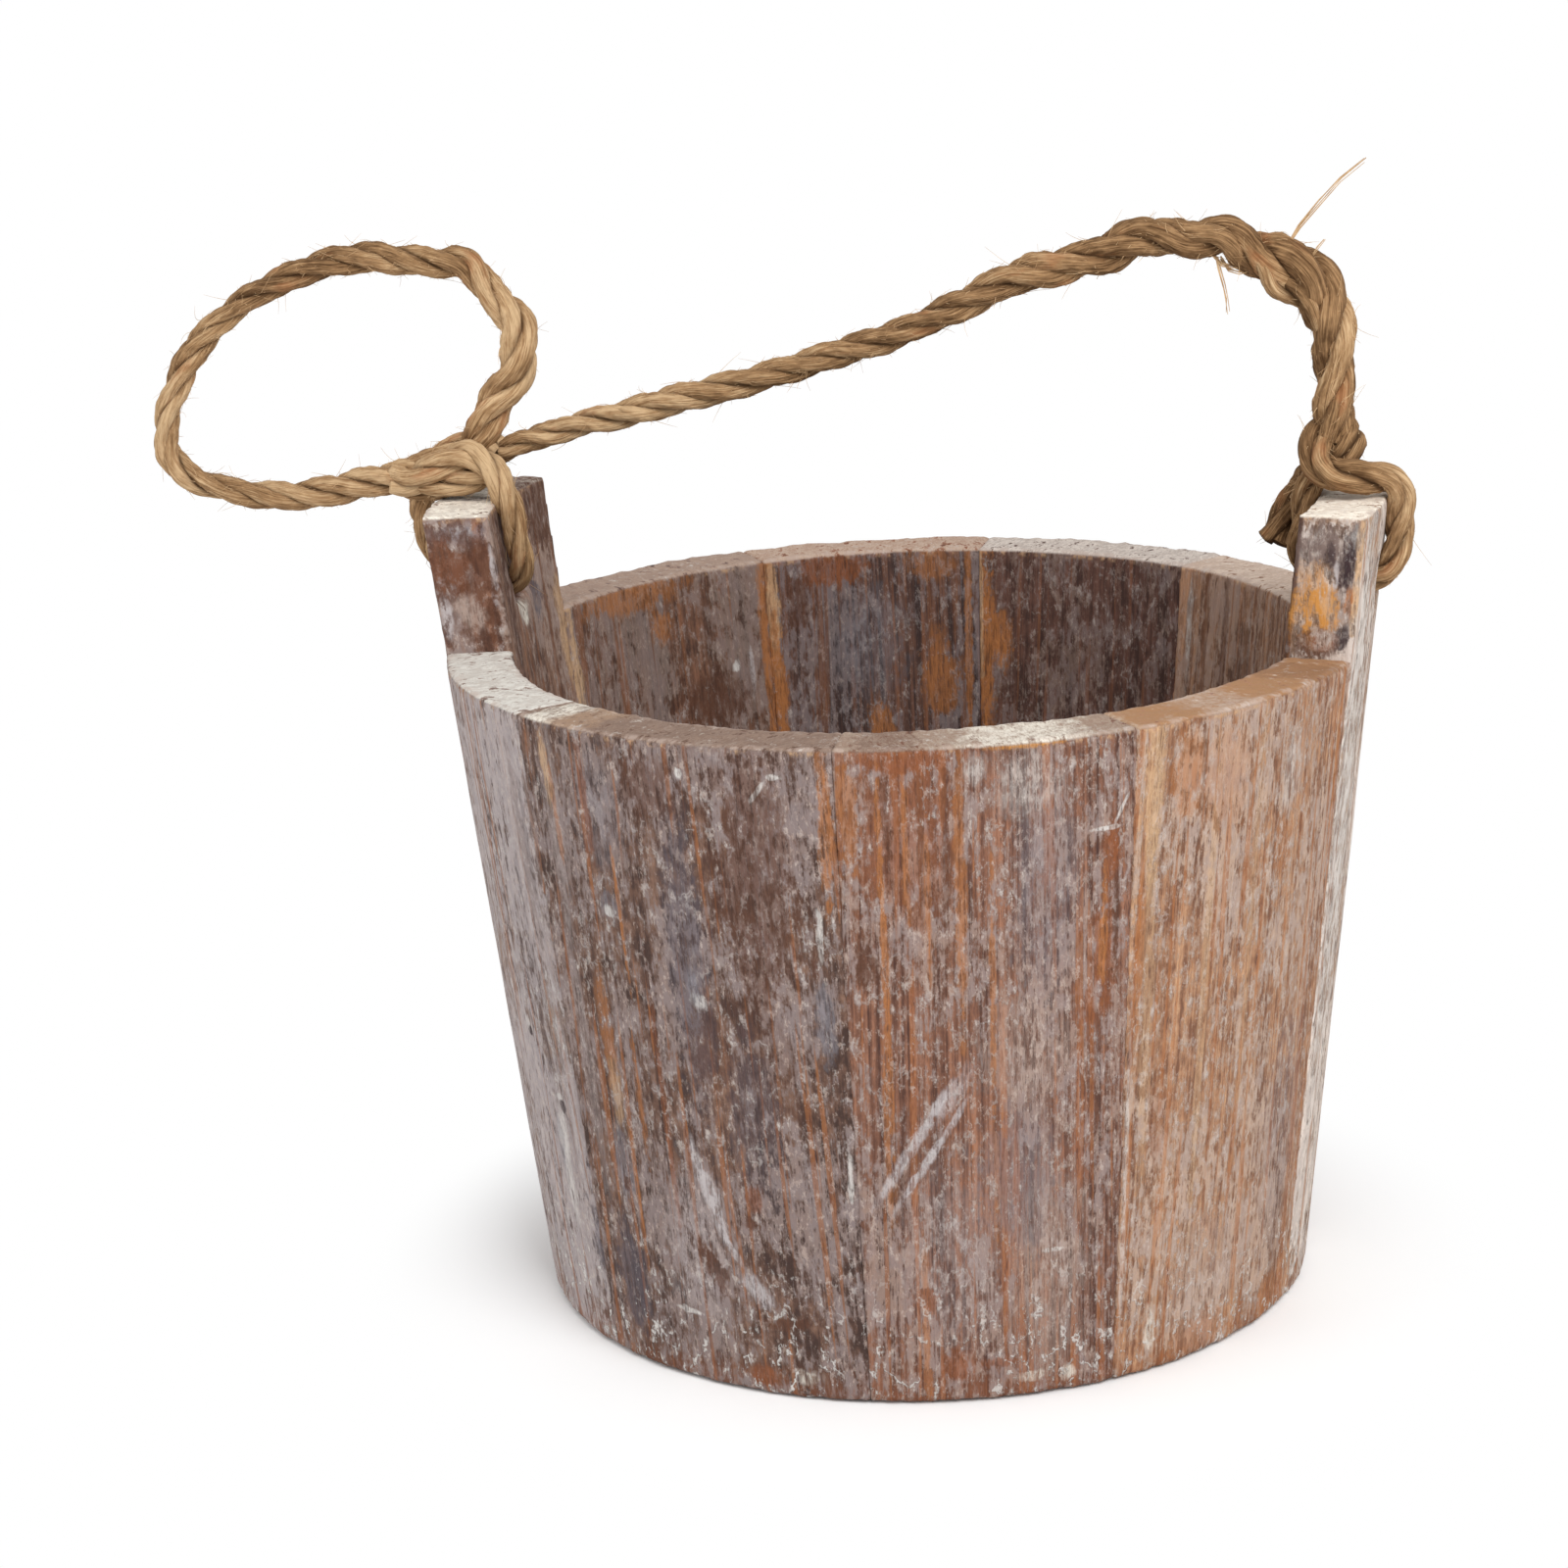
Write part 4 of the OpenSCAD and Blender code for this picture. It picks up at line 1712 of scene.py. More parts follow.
STAVE_LOOKS = {
    "front_stave_1": StaveLook(
        seed=3, haze=0.86, bare=0.25, flecks=0.8, rim=tone(210, 206, 198), coat=tone(180, 169, 168),
        dark=tone(92, 76, 72), body=tone(140, 118, 107), light=tone(174, 152, 137),
        outside=(
            # The first WASH, at 200° by the left outline, is partly whitewash and partly a painted rim
            # highlight along that edge.
            (WASH, 200, 90, 6, 70, 0.35), (DUSK, 225, 70, 12, 62, 0.25), (DUSK, 229.8, 118, 6, 32, 0.8),
            (DUSK, 224.6, 112, 2.0, 26, 0.4), (MIST, 226, 60, 1.6, 30, 0.5),
            (MIST, 223.4, 96, 1.2, 22, 0.5), (STAIN, 226, 112, 1.4, 20, 0.3),
            (BARE, 229.4, 66, 1.5, 16, 0.6), (WASH, 221.6, 40, 2.6, 17, 0.7),
            (HAZE, 220.6, 44, 1.6, 8, 0.6), (SLATE, 229.6, 24, 6, 16, 0.8), (UMBER, 229, 8, 5, 5, 0.8),
            (WASH, 215.4, 69, 2.0, 1.8, 0.5), (STAIN, 216, 67.7, 1.0, 1.3, 1.0),
            (WASH, 222.4, 55.6, 1.6, 1.2, 0.7), (STAIN, 222.9, 53.9, 1.4, 1.5, 1.0),
        ),
    ),
    "front_stave_2": StaveLook(
        seed=17, haze=0.54, lines=0.2, bare=0.25, flecks=0.6, rim=tone(136, 114, 100),
        coat=tone(138, 120, 114), dark=tone(64, 46, 40), body=tone(98, 72, 60), light=tone(136, 105, 88),
        outside=(
            (MAUVE, 233, 122, 3, 24, 0.7), (MAUVE, 232, 70, 2, 30, 0.5), (TAN, 232.6, 134, 1.6, 9, 0.7),
            (BARE, 233.4, 123, 1.0, 14, 0.6), (UMBER, 262, 116, 10, 30, 0.76), (SLATE, 252, 96, 5, 34, 0.6),
            (HAZE, 241, 126, 6, 13, 0.35), (UMBER, 254, 76, 6, 10, 0.45), (UMBER, 263, 76, 6, 16, 0.3),
            (SLATE, 259, 62, 6, 18, 0.4), (UMBER, 249, 133, 8, 7, 0.7), (RUST, 239, 128, 1.2, 16, 0.6),
            (RUST, 245.6, 60, 0.8, 30, 0.6), (BARE, 238.6, 44, 0.8, 26, 0.6), (MIST, 248, 30, 9, 20, 0.3),
            (BARE, 242.5, 105, 0.6, 14, 0.9), (HAZE, 240.9, 105, 3.0, 3.6, 0.7),
            (WASH, 240.7, 104, 1.6, 1.6, 0.8), (BARE, 237, 76, 2.4, 16, 0.6), (TAN, 237.4, 63, 2.2, 8, 0.5),
            (HAZE, 236.4, 46, 3.2, 9, 0.6), (UMBER, 236.6, 42, 1.4, 2.2, 0.9),
            (BARE, 241.4, 62, 1.0, 14, 0.6), (WASH, 253.6, 136.4, 1.1, 1.4, 0.95),
            (WASH, 263.4, 134.4, 0.7, 2.6, 0.7, 0.7), (WASH, 265.2, 137, 2.2, 0.7, 0.8),
            (WASH, 252.8, 88, 2.4, 1.8, 0.65), (HAZE, 252.4, 91, 1.8, 4.4, 0.7),
            (BARE, 270.8, 126, 1.7, 20, 0.75), (UMBER, 268.6, 97, 1.0, 3.6, 0.9),
            (WASH, 269.4, 104, 0.8, 5.5, 0.75), (HAZE, 269.4, 86, 2.4, 9, 0.7),
            (WASH, 271.2, 51, 0.7, 7, 0.8), (MIST, 250.9, 46.4, 2.3, 9.4, 0.95, -0.3),
            (MIST, 253.4, 33.4, 1.1, 6.4, 1.0, -0.55), (MIST, 257, 24, 3.2, 4.6, 0.9, -0.6),
            (UMBER, 250.2, 27.8, 2.8, 7, 0.95, -0.4), (UMBER, 256.9, 38.9, 2.0, 2.0, 0.9),
            (RUST, 257.8, 45, 2.4, 3.2, 0.6), (UMBER, 260.8, 17, 5.4, 1.7, 0.85, 1.2),
            (WASH, 245.6, 16, 4.0, 0.8, 0.95, -1.6), (RUST, 256.6, 3.9, 4.4, 2.6, 0.85),
            (CREAM, 263.6, 5, 3.2, 1.8, 0.6), (SLATE, 235, 20, 5, 14, 0.7),
        ),
        top=(
            (CREAM, 231.8, 4.6, 0.9), (TAN, 237, 6, 0.3),
        ),
    ),
    "front_stave_3": StaveLook(
        seed=29, haze=0.52, lines=0.42, bare=0.4, flecks=0.5, rim=tone(158, 138, 122),
        coat=tone(150, 127, 116), dark=tone(80, 52, 42), body=tone(118, 80, 63), light=tone(156, 110, 86),
        outside=(
            (RUST, 279.6, 124, 11, 19, 0.6), (UMBER, 277.8, 130, 1.2, 14, 0.6),
            (UMBER, 281.6, 126, 0.9, 18, 0.6), (UMBER, 284.4, 120, 1.0, 22, 0.5),
            (BARE, 279.8, 124, 0.8, 20, 0.6), (MIST, 284, 34, 10, 22, 0.25), (DUST, 297, 28, 8, 24, 0.35),
            (DUST, 293, 78, 9, 14, 0.3), (RUST, 279.6, 140.4, 12, 3.2, 0.85),
            (BARE, 273.4, 128, 2.4, 14, 0.6), (BARE, 276.9, 98, 0.8, 46, 0.85),
            (BARE, 276.2, 60, 0.7, 20, 0.7), (BARE, 286, 112, 1.3, 34, 0.7),
            (BARE, 282.2, 112, 0.7, 20, 0.55), (BARE, 289.6, 90, 0.7, 34, 0.7),
            (BARE, 289.9, 46, 0.8, 16, 0.7), (BARE, 280.2, 18, 0.9, 22, 0.6),
            (UMBER, 274.6, 98, 2.8, 6, 0.9), (HAZE, 296, 112, 7, 22, 0.4), (HAZE, 293, 50, 8, 17, 0.4),
            (WASH, 287.9, 138, 2.2, 3.2, 0.5), (WASH, 294, 134, 8, 7, 0.35),
            (AMBER, 294, 142.4, 8, 0.9, 0.8), (RUST, 303.6, 97, 2.8, 15, 0.9),
            (RUST, 304.3, 118, 2.2, 6, 1.0), (UMBER, 305, 104, 1.2, 12, 0.85),
            (BARE, 303.4, 101, 1.0, 13, 0.9), (RUST, 301.8, 86, 1.6, 5, 0.7),
            (WASH, 303.2, 123, 3.4, 0.6, 0.8, 1.2), (WASH, 305.4, 127, 0.5, 3, 0.8, 0.5),
            (UMBER, 280.8, 56, 3.4, 9, 0.4, 0.62), (MIST, 279, 57.6, 1.5, 15, 0.85, 0.62),
            (MIST, 284.4, 69.4, 2.6, 8.4, 0.6, 0.6), (MIST, 281.9, 57, 1.1, 14, 0.95, 0.62),
            (WASH, 297.6, 33, 2.6, 0.7, 0.8), (RUST, 284.2, 8.3, 4, 4.4, 0.85),
            (RUST, 280.6, 24, 2.4, 3, 0.7), (CREAM, 299.9, 4.2, 1.8, 2, 0.7),
            (CREAM, 294.6, 4.6, 3.4, 1.4, 0.55), (RUST, 290, 8.6, 4.2, 1.5, 0.7),
        ),
        top=(
            (CREAM, 294, 13, 0.85), (UMBER, 278, 7, 0.5),
        ),
    ),
    "front_stave_4": StaveLook(
        seed=41, haze=0.52, lines=0.34, bare=0.35, flecks=0.45, rim=tone(158, 119, 84),
        coat=tone(180, 154, 136), dark=tone(117, 80, 60), body=tone(163, 121, 92),
        light=tone(198, 155, 120),
        outside=(
            (TAN, 309.4, 130, 2.6, 22, 0.8), (TAN, 309.8, 84, 1.7, 46, 0.4),
            (BARE, 308.4, 96, 1.1, 22, 0.6), (TAN, 318.5, 80, 1.2, 60, 0.45), (TAN, 326, 90, 1.0, 50, 0.35),
            (BARE, 314, 131, 4.5, 9, 0.7), (BARE, 320, 128, 8, 12, 0.35), (UMBER, 316.4, 132, 0.8, 10, 0.5),
            (BARE, 331.7, 110, 4, 8, 0.5), (WASH, 332.5, 126, 4, 9, 0.4), (DUST, 322, 18, 9, 14, 0.4),
            (RUST, 312.4, 56, 3.2, 9, 0.45), (HAZE, 338, 45, 8, 26, 0.3), (WASH, 307.6, 40, 0.6, 38, 0.5),
            (CREAM, 312.5, 9, 1.6, 6, 0.6), (BARE, 338, 5, 5, 5, 0.75), (BARE, 322, 5, 10, 5, 0.5),
            (BARE, 344.2, 124, 0.8, 30, 0.95), (UMBER, 340, 20, 5, 16, 0.3),
        ),
        top=(
            (CREAM, 305, 5, 0.4), (WASH, 321, 8, 0.3), (UMBER, 339, 8, 0.35),
        ),
    ),
    "right_ear_stave": StaveLook(
        seed=53, haze=0.75, bare=0.3, flecks=0.5, rim=tone(243, 233, 218), coat=tone(234, 221, 210),
        dark=tone(110, 88, 76), body=tone(160, 130, 108), light=tone(192, 162, 136),
        edge=(
            (UMBER, -8, 158, 11, 21, 0.6), (DUSK, -7, 166, 9, 6.4, 0.85),
            (AMBER, -8.6, 152.5, 6.4, 10.5, 1.0), (TAN, -6.4, 154, 1.8, 3, 0.5),
            (UMBER, -8, 146, 7, 4.4, 0.9), (STAIN, -6.6, 164.6, 1.6, 3.6, 0.8),
            (STAIN, -3.2, 162.5, 2.6, 7.4, 1.0), (MIST, -5, 161, 0.8, 4, 0.9),
            (BARE, -1.6, 155, 1.8, 3.6, 0.95), (STAIN, -2.4, 147.4, 2.0, 3.6, 0.95),
            (RUST, -6.4, 146.6, 3.6, 2.6, 0.6), (TAN, -0.4, 160, 0.9, 15, 0.85),
        ),
        outside=(
            (WASH, -10, 110, 8, 80, 0.6),
        ),
    ),
    "left_ear_stave": StaveLook(
        seed=67, haze=0.5, bare=0.4, flecks=0.5, rim=tone(238, 230, 216), coat=tone(146, 128, 120),
        dark=tone(70, 50, 44), body=tone(112, 80, 66), light=tone(150, 116, 96),
        within=(tone(88, 65, 57), tone(152, 118, 98), tone(172, 150, 137)),
        edge=(
            (HAZE, -8, 168.8, 7, 2.6, 0.6), (UMBER, -7, 157, 9, 16, 0.8), (RUST, -4, 161, 4.6, 6.5, 0.6),
            (UMBER, -4.4, 160.5, 4.8, 7.2, 0.5), (UMBER, -11, 164, 2.4, 6.5, 0.8),
            (DUST, -6.5, 152, 4, 4, 0.6), (MIST, -1.8, 151, 1.6, 5, 0.8), (UMBER, -11.6, 150, 1.4, 9, 0.8),
            (MIST, -13.4, 161, 0.7, 5, 0.8),
        ),
        inside=(
            (UMBER, 186, 158, 2, 14, 0.5), (UMBER, 169, 166, 7, 8, 0.75), (CREAM, 181, 149, 3.4, 6, 1.0),
            (SLATE, 174.4, 148, 3.4, 6.5, 0.8), (TAN, 167.0, 138, 2.2, 14, 0.8),
        ),
        top=(
            # The STAIN at 182.6° is painted shadow on the ear's top, just in front of the rope that crosses
            # it.
            (UMBER, 170, 11, 1.0), (STAIN, 182.6, 3.4, 0.7),
        ),
    ),
    "back_stave_1": StaveLook(
        seed=71, rim=tone(204, 184, 168), flecks=0.5, lines=0.4, coat=tone(164, 148, 140),
        dark=tone(92, 66, 54), body=tone(138, 102, 80), light=tone(174, 136, 110),
        within=(tone(104, 76, 62), tone(182, 138, 108), tone(176, 148, 130)),
        inside=(
            (TAN, 54.6, 116, 2.4, 40, 0.55), (WASH, 50.4, 128, 1.0, 12, 0.6),
            (UMBER, 41.6, 122, 1.4, 30, 0.6), (UMBER, 46.4, 116, 1.2, 40, 0.6),
            (STAIN, 36, 120, 5, 16, 0.35),
        ),
    ),
    "back_stave_2": StaveLook(
        seed=83, rim=tone(206, 194, 184), haze=0.5, bare=0.3, coat=tone(148, 136, 132),
        dark=tone(66, 52, 48), body=tone(104, 82, 74), light=tone(140, 118, 106),
        within=(tone(66, 45, 39), tone(112, 78, 66), tone(132, 110, 99)),
        inside=(
            (BARE, 88.0, 116, 2.6, 34, 1.0), (BARE, 85.6, 121, 3.2, 8.5, 1.0),
            (TAN, 88.8, 128, 0.9, 16, 0.7),
        ),
    ),
    "back_stave_3": StaveLook(
        seed=97, rim=tone(186, 162, 144), haze=0.5, bare=0.5, lines=0.5, coat=tone(166, 142, 130),
        dark=tone(88, 56, 43), body=tone(138, 90, 66), light=tone(174, 126, 96),
        within=(tone(62, 46, 43), tone(120, 84, 68), tone(132, 119, 118)),
        inside=(
            (BARE, 123.4, 118, 2.2, 34, 1.0), (MIST, 90.9, 124, 0.7, 12, 0.8),
            (RUST, 113, 139, 9, 4.5, 0.9), (BARE, 97, 139, 6, 4, 0.6), (UMBER, 118.6, 133, 3, 8, 0.8),
            (HAZE, 107, 121, 9, 13, 0.4), (BARE, 95.6, 112, 5, 10, 0.8), (BARE, 105.8, 102, 3.4, 5.5, 0.85),
            (TAN, 123, 130, 1.8, 14, 0.8), (BARE, 122.8, 113, 2.0, 16, 0.9),
            (BARE, 90.8, 122, 1.1, 30, 0.8),
        ),
    ),
    "back_stave_4": StaveLook(
        seed=109, rim=tone(166, 142, 126), haze=0.7, bare=0.35, coat=tone(178, 167, 163),
        dark=tone(84, 66, 60), body=tone(128, 104, 94), light=tone(166, 142, 128),
        within=(tone(74, 53, 45), tone(136, 96, 75), tone(142, 124, 115)),
        inside=(
            (BARE, 124.6, 120, 1.4, 32, 0.9), (MIST, 127.6, 118, 0.8, 6, 0.7),
            (BARE, 150, 140.5, 16, 4.4, 0.8), (BARE, 143.9, 131.6, 3.2, 4, 0.8),
            (UMBER, 135, 112, 12, 7, 0.8), (BARE, 125.2, 128, 1.0, 18, 0.6),
            (WASH, 130.4, 119, 1.2, 1.8, 0.9), (TAN, 165.2, 128, 2.2, 22, 0.85),
        ),
    ),
}


# Staves, floor and pegs


@dataclass
class Staves:
    """The ten staves of the wall, two of which rise as ears with a rope hole.

    Attributes:
        bucket: The bucket's form.
        wear: How their wood has worn.
        bevel: Width of the bevels at the rim and the foot, in metres.
        overlap: How far a stave reaches into its neighbours, in metres.
        mouth_flare: Depth of the flare at the rope hole's mouths, in metres.
    """

    bucket: BucketForm
    wear: Wear = field(default_factory=Wear)
    bevel: float = 0.5 * MM
    overlap: float = 0.12 * MM
    mouth_flare: float = 1.0 * MM

    EAR_RISE = 5 * MM
    EAR_MARGIN = 3 * MM
    HIDDEN = 0.3 * MM
    FREE = 1.8 * MM
    RIM_FADE = 2 * MM
    EDGE_REACH = 2.2 * MM
    MERGE = 0.01 * MM
    ARC_STEP = 0.05
    LEAST_STEPS = 6
    HOLE_SIDES = 40
    MOUTH_REACH = 2.5
    FACING = 0.9

    def build(self) -> None:
        """Make and dress every stave."""
        for node, look in STAVE_LOOKS.items():
            form = StaveForm.measured(node)
            is_ear = form.top > self.bucket.rim + self.EAR_RISE
            piece = self._blank(form)
            if is_ear:
                self._bore(piece, form)
            turned = Matrix.Rotation(math.radians(form.middle), 4, "Z")
            leant = Matrix.Rotation(self.bucket.lean, 4, "Y")
            shift = Matrix.Translation(Vector((look.seed, look.seed / 2, look.seed / 3)) * MM)
            self.wear.weather(
                piece,
                turned @ leant @ shift,
                lambda points, form=form: self._shown(points, form),
                lambda points, top=form.top: self._edge(points, top),
            )
            material = StaveFinish(form, self.bucket, look).material()
            stand_in(piece, node, material)

    def _shown(self, points: np.ndarray, form: StaveForm) -> np.ndarray:
        """Tell how free points are of the joints with the neighbours.

        Args:
            points: The points.
            form: Where the stave stands.

        Returns:
            A value from 0 to 1 for each point.
        """
        middle = math.radians(form.middle)
        ahead = points[:, 0] * math.cos(middle) + points[:, 1] * math.sin(middle)
        aside = points[:, 1] * math.cos(middle) - points[:, 0] * math.sin(middle)
        half = math.radians(form.end - form.start) / 2
        gap = (math.tan(half) * ahead - np.abs(aside)) * math.cos(half)
        above = ramp_up(points[:, 2], self.bucket.rim, self.bucket.rim + self.RIM_FADE)
        return np.maximum(ramp_up(gap, self.HIDDEN, self.FREE), above)

    def _edge(self, points: np.ndarray, top: float) -> np.ndarray:
        """How near points lie to the wall's top or bottom, from 0 to 1."""
        near = np.minimum(np.abs(points[:, 2] - top), np.abs(points[:, 2]))
        return np.clip(1 - near / self.EDGE_REACH, 0, 1)

    def _blank(self, form: StaveForm) -> bpy.types.Object:
        """Shape a stave: a leaning section with the floor's groove, spun round the bucket's middle.

        Args:
            form: Where the stave stands.

        Returns:
            The piece.
        """
        bucket = self.bucket

        def in_groove(face: object) -> bool:
            """Whether a face lies between the groove's floor and roof."""
            return bucket.groove_floor < centre_of(face).z < bucket.groove_roof

        bpy.ops.object.select_all(action="DESELECT")
        bpy.ops.mesh.primitive_plane_add(
            size=1,
            location=(bucket.base_radius - bucket.thickness / 2, 0, form.top / 2),
            rotation=(math.pi / 2, 0, 0),
        )
        piece = bpy.context.active_object
        piece.name = f"{form.node}_worn"
        piece.data.name = piece.name
        piece.scale = (bucket.thickness, form.top, 1)
        bpy.ops.object.transform_apply(location=True, rotation=True, scale=True)
        over = self.overlap / bucket.base_radius
        arc = math.radians(form.end - form.start) + 2 * over
        steps = max(self.LEAST_STEPS, round(arc / self.ARC_STEP))
        with EditMode(piece) as edit:
            edit.pick(Kind.VERTICES, lambda vertex: vertex.co.z > form.top / 2)
            bpy.ops.transform.translate(value=(bucket.flare * form.top, 0, 0))
            for height in (bucket.groove_floor, bucket.groove_roof):
                edit.everything()
                bpy.ops.mesh.bisect(plane_co=(0, 0, height), plane_no=(0, 0, 1))
            edit.pick(Kind.FACES, in_groove)
            bpy.ops.mesh.bisect(plane_co=(bucket.groove_radius, 0, 0), plane_no=(1, 0, 0))
            edit.pick(Kind.FACES, lambda face: in_groove(face) and centre_of(face).x < bucket.groove_radius)
            bpy.ops.mesh.delete(type="FACE")
            edit.everything()
            bpy.ops.mesh.spin(steps=steps, angle=-arc, center=(0, 0, 0), axis=(0, 0, 1))
            edit.everything()
            bpy.ops.mesh.remove_doubles(threshold=self.MERGE)
            bpy.ops.mesh.normals_make_consistent(inside=False)
            edit.bevel(
                self.bevel,
                lambda edge: any(abs(centre_of(edge).z - end) < self.MERGE for end in (0, form.top)),
            )
        piece.rotation_euler.z = math.radians(form.start) - over
        only(piece)
        bpy.ops.object.transform_apply(location=False, rotation=True, scale=False)
        return piece

    def _bore(self, piece: bpy.types.Object, form: StaveForm) -> None:
        """Cut the rope hole through an ear, with flared mouths.

        Args:
            piece: The ear stave.
            form: Where it stands.
        """
        low, high = self.bucket.rim + self.EAR_MARGIN, form.top - self.EAR_MARGIN
        heights = [point.z for point in points_of(form.node) if low < point.z < high]
        height = (min(heights) + max(heights)) / 2
        mouth = (max(heights) - min(heights)) / 2
        flare = self.mouth_flare
        bpy.ops.object.select_all(action="DESELECT")
        bpy.ops.mesh.primitive_cylinder_add(
            vertices=self.HOLE_SIDES,
            radius=mouth - flare,
            depth=self.bucket.thickness - 2 * flare,
            location=(self.bucket.radius(height) - self.bucket.thickness / 2, 0, height),
            rotation=(0, math.pi / 2, 0),
        )
        cutter = bpy.context.active_object
        bpy.ops.object.transform_apply(location=True, rotation=True, scale=True)
        grown = (mouth + (self.MOUTH_REACH - 1) * flare) / (mouth - flare)
        with EditMode(cutter) as edit:
            for way in (-1, 1):
                edit.pick(Kind.FACES, lambda face: face.normal.x * way > self.FACING)
                bpy.ops.mesh.extrude_region_move(
                    TRANSFORM_OT_translate={"value": (self.MOUTH_REACH * flare * way, 0, 0)}
                )
                bpy.ops.transform.resize(value=(1, grown, grown))
            edit.face_outwards()
        cutter.rotation_euler.z = math.radians(form.middle)
        only(piece)
        cut = piece.modifiers.new("hole", "BOOLEAN")
        cut.operation = "DIFFERENCE"
        cut.object = cutter
        bpy.context.view_layer.update()
        bpy.ops.object.modifier_apply(modifier=cut.name)
        bpy.data.objects.remove(cutter)


@dataclass(frozen=True)
class FloorFinish:
    """Dry pine boards on the floor, with the grain along X."""

    seed: float
    lightness: float
    dark: Colour = tone(70, 50, 42)
    body: Colour = tone(118, 88, 70)
    light: Colour = tone(164, 128, 98)

    def material(self) -> bpy.types.Material:
        """Build the board's material.

        Returns:
            The material.
        """
        bench = Bench(bpy.data.materials.new(f"floor_wood_{self.seed:g}"))
        board = bench.board((0, math.pi / 2, 0))
        bands = bench.noise(board, (9, 4.5, 120), self.seed, detail=4)
        grain = bench.noise(board, (2, 0.9, 34), self.seed + 1, detail=3)
        mottle = bench.noise(board, (14, 12, 22), self.seed + 2, detail=4)
        value = bands * 0.5 + grain * 0.4 + mottle * 0.5 - 0.2 + self.lightness
        colour = bench.ramp(value, (0.3, self.dark), (0.5, self.body), (0.7, self.light))
        specks = bench.noise(board, (1.2, 0.9, 2), self.seed + 3, detail=3, rough=0.7)
        dusty = specks.step(0.62, 0.7) * mottle.step(0.45, 0.6) * 0.6
        colour = bench.blend(dusty, colour, WASH.value)
        relief = grain * 0.6 + bands * 0.3
        return bench.shade(colour, 0.9, relief, 0.5 * MM, Specular_IOR_Level=0.3)


@dataclass
class Floor:
    """The three boards of the round floor, each with the lightness of its wood."""

    wear: Wear = field(default_factory=lambda: Wear(warp=0.3 * MM, grain=0.25 * MM, chips=0.3 * MM))
    bevel: float = 1.3 * MM

    BOARDS = (("front_floor_board", -0.05), ("middle_floor_board", 0.07), ("back_floor_board", 0.01))
    SIDES = 160
    ROUND_SHARE = 0.9

    def build(self) -> None:
        """Make and dress the boards."""
        for number, (node, lightness) in enumerate(self.BOARDS):
            piece = self._blank(node)
            place = Matrix.Rotation(math.pi / 2, 4, "Y") @ Matrix.Translation((number, number, number))
            self.wear.weather(
                piece, place, lambda points: np.ones(len(points)), lambda points: np.zeros(len(points))
            )
            stand_in(piece, node, FloorFinish(10 * number + 5, lightness).material())

    def _blank(self, node: str) -> bpy.types.Object:
        """Shape a board: a disc as wide as the middle board is long, cut off at the joints.

        Args:
            node: Name of the board's node.

        Returns:
            The piece.
        """
        low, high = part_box("middle_floor_board")
        radius = (high.x - low.x) / 2
        front, back = (corner.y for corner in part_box(node))
        bpy.ops.object.select_all(action="DESELECT")
        bpy.ops.mesh.primitive_cylinder_add(
            vertices=self.SIDES,
            radius=radius,
            depth=high.z - low.z,
            location=(0, 0, (low.z + high.z) / 2),
        )
        piece = bpy.context.active_object
        piece.name = f"{node}_worn"
        bpy.ops.object.transform_apply(location=True, rotation=True, scale=True)
        with EditMode(piece) as edit:
            for joint, way in ((front, 1), (back, -1)):
                if abs(joint) < self.ROUND_SHARE * radius:
                    edit.everything()
                    bpy.ops.mesh.bisect(
                        plane_co=(0, joint, 0), plane_no=(0, way, 0), use_fill=True, clear_inner=True
                    )
            edit.face_outwards()
            edit.bevel(self.bevel)
        return piece


@dataclass(frozen=True)
class Pegs:
    """The pale pegs inside the joints, which keep their own solids."""

    dark: Colour = tone(176, 140, 98)
    light: Colour = tone(214, 184, 142)

    def dress(self) -> None:
        """Give both sets of pegs their wood."""
        bench = Bench(bpy.data.materials.new("peg_wood"))
        grain = bench.noise(bench.point(), (0.6 * MM, 6 * MM, 0.6 * MM), 2)
        colour = bench.ramp(grain, (0.35, self.dark), (0.65, self.light))
        material = bench.shade(colour, 0.8, grain, 0.1 * MM)
        for node in ("stave_pegs", "floor_pegs"):
            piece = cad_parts[node]
            if not piece.data.materials:
                piece.data.materials.append(material)
            for slot in piece.material_slots:
                slot.material = material
            LOG.info("%s: dressed as they are", node)


# Studio


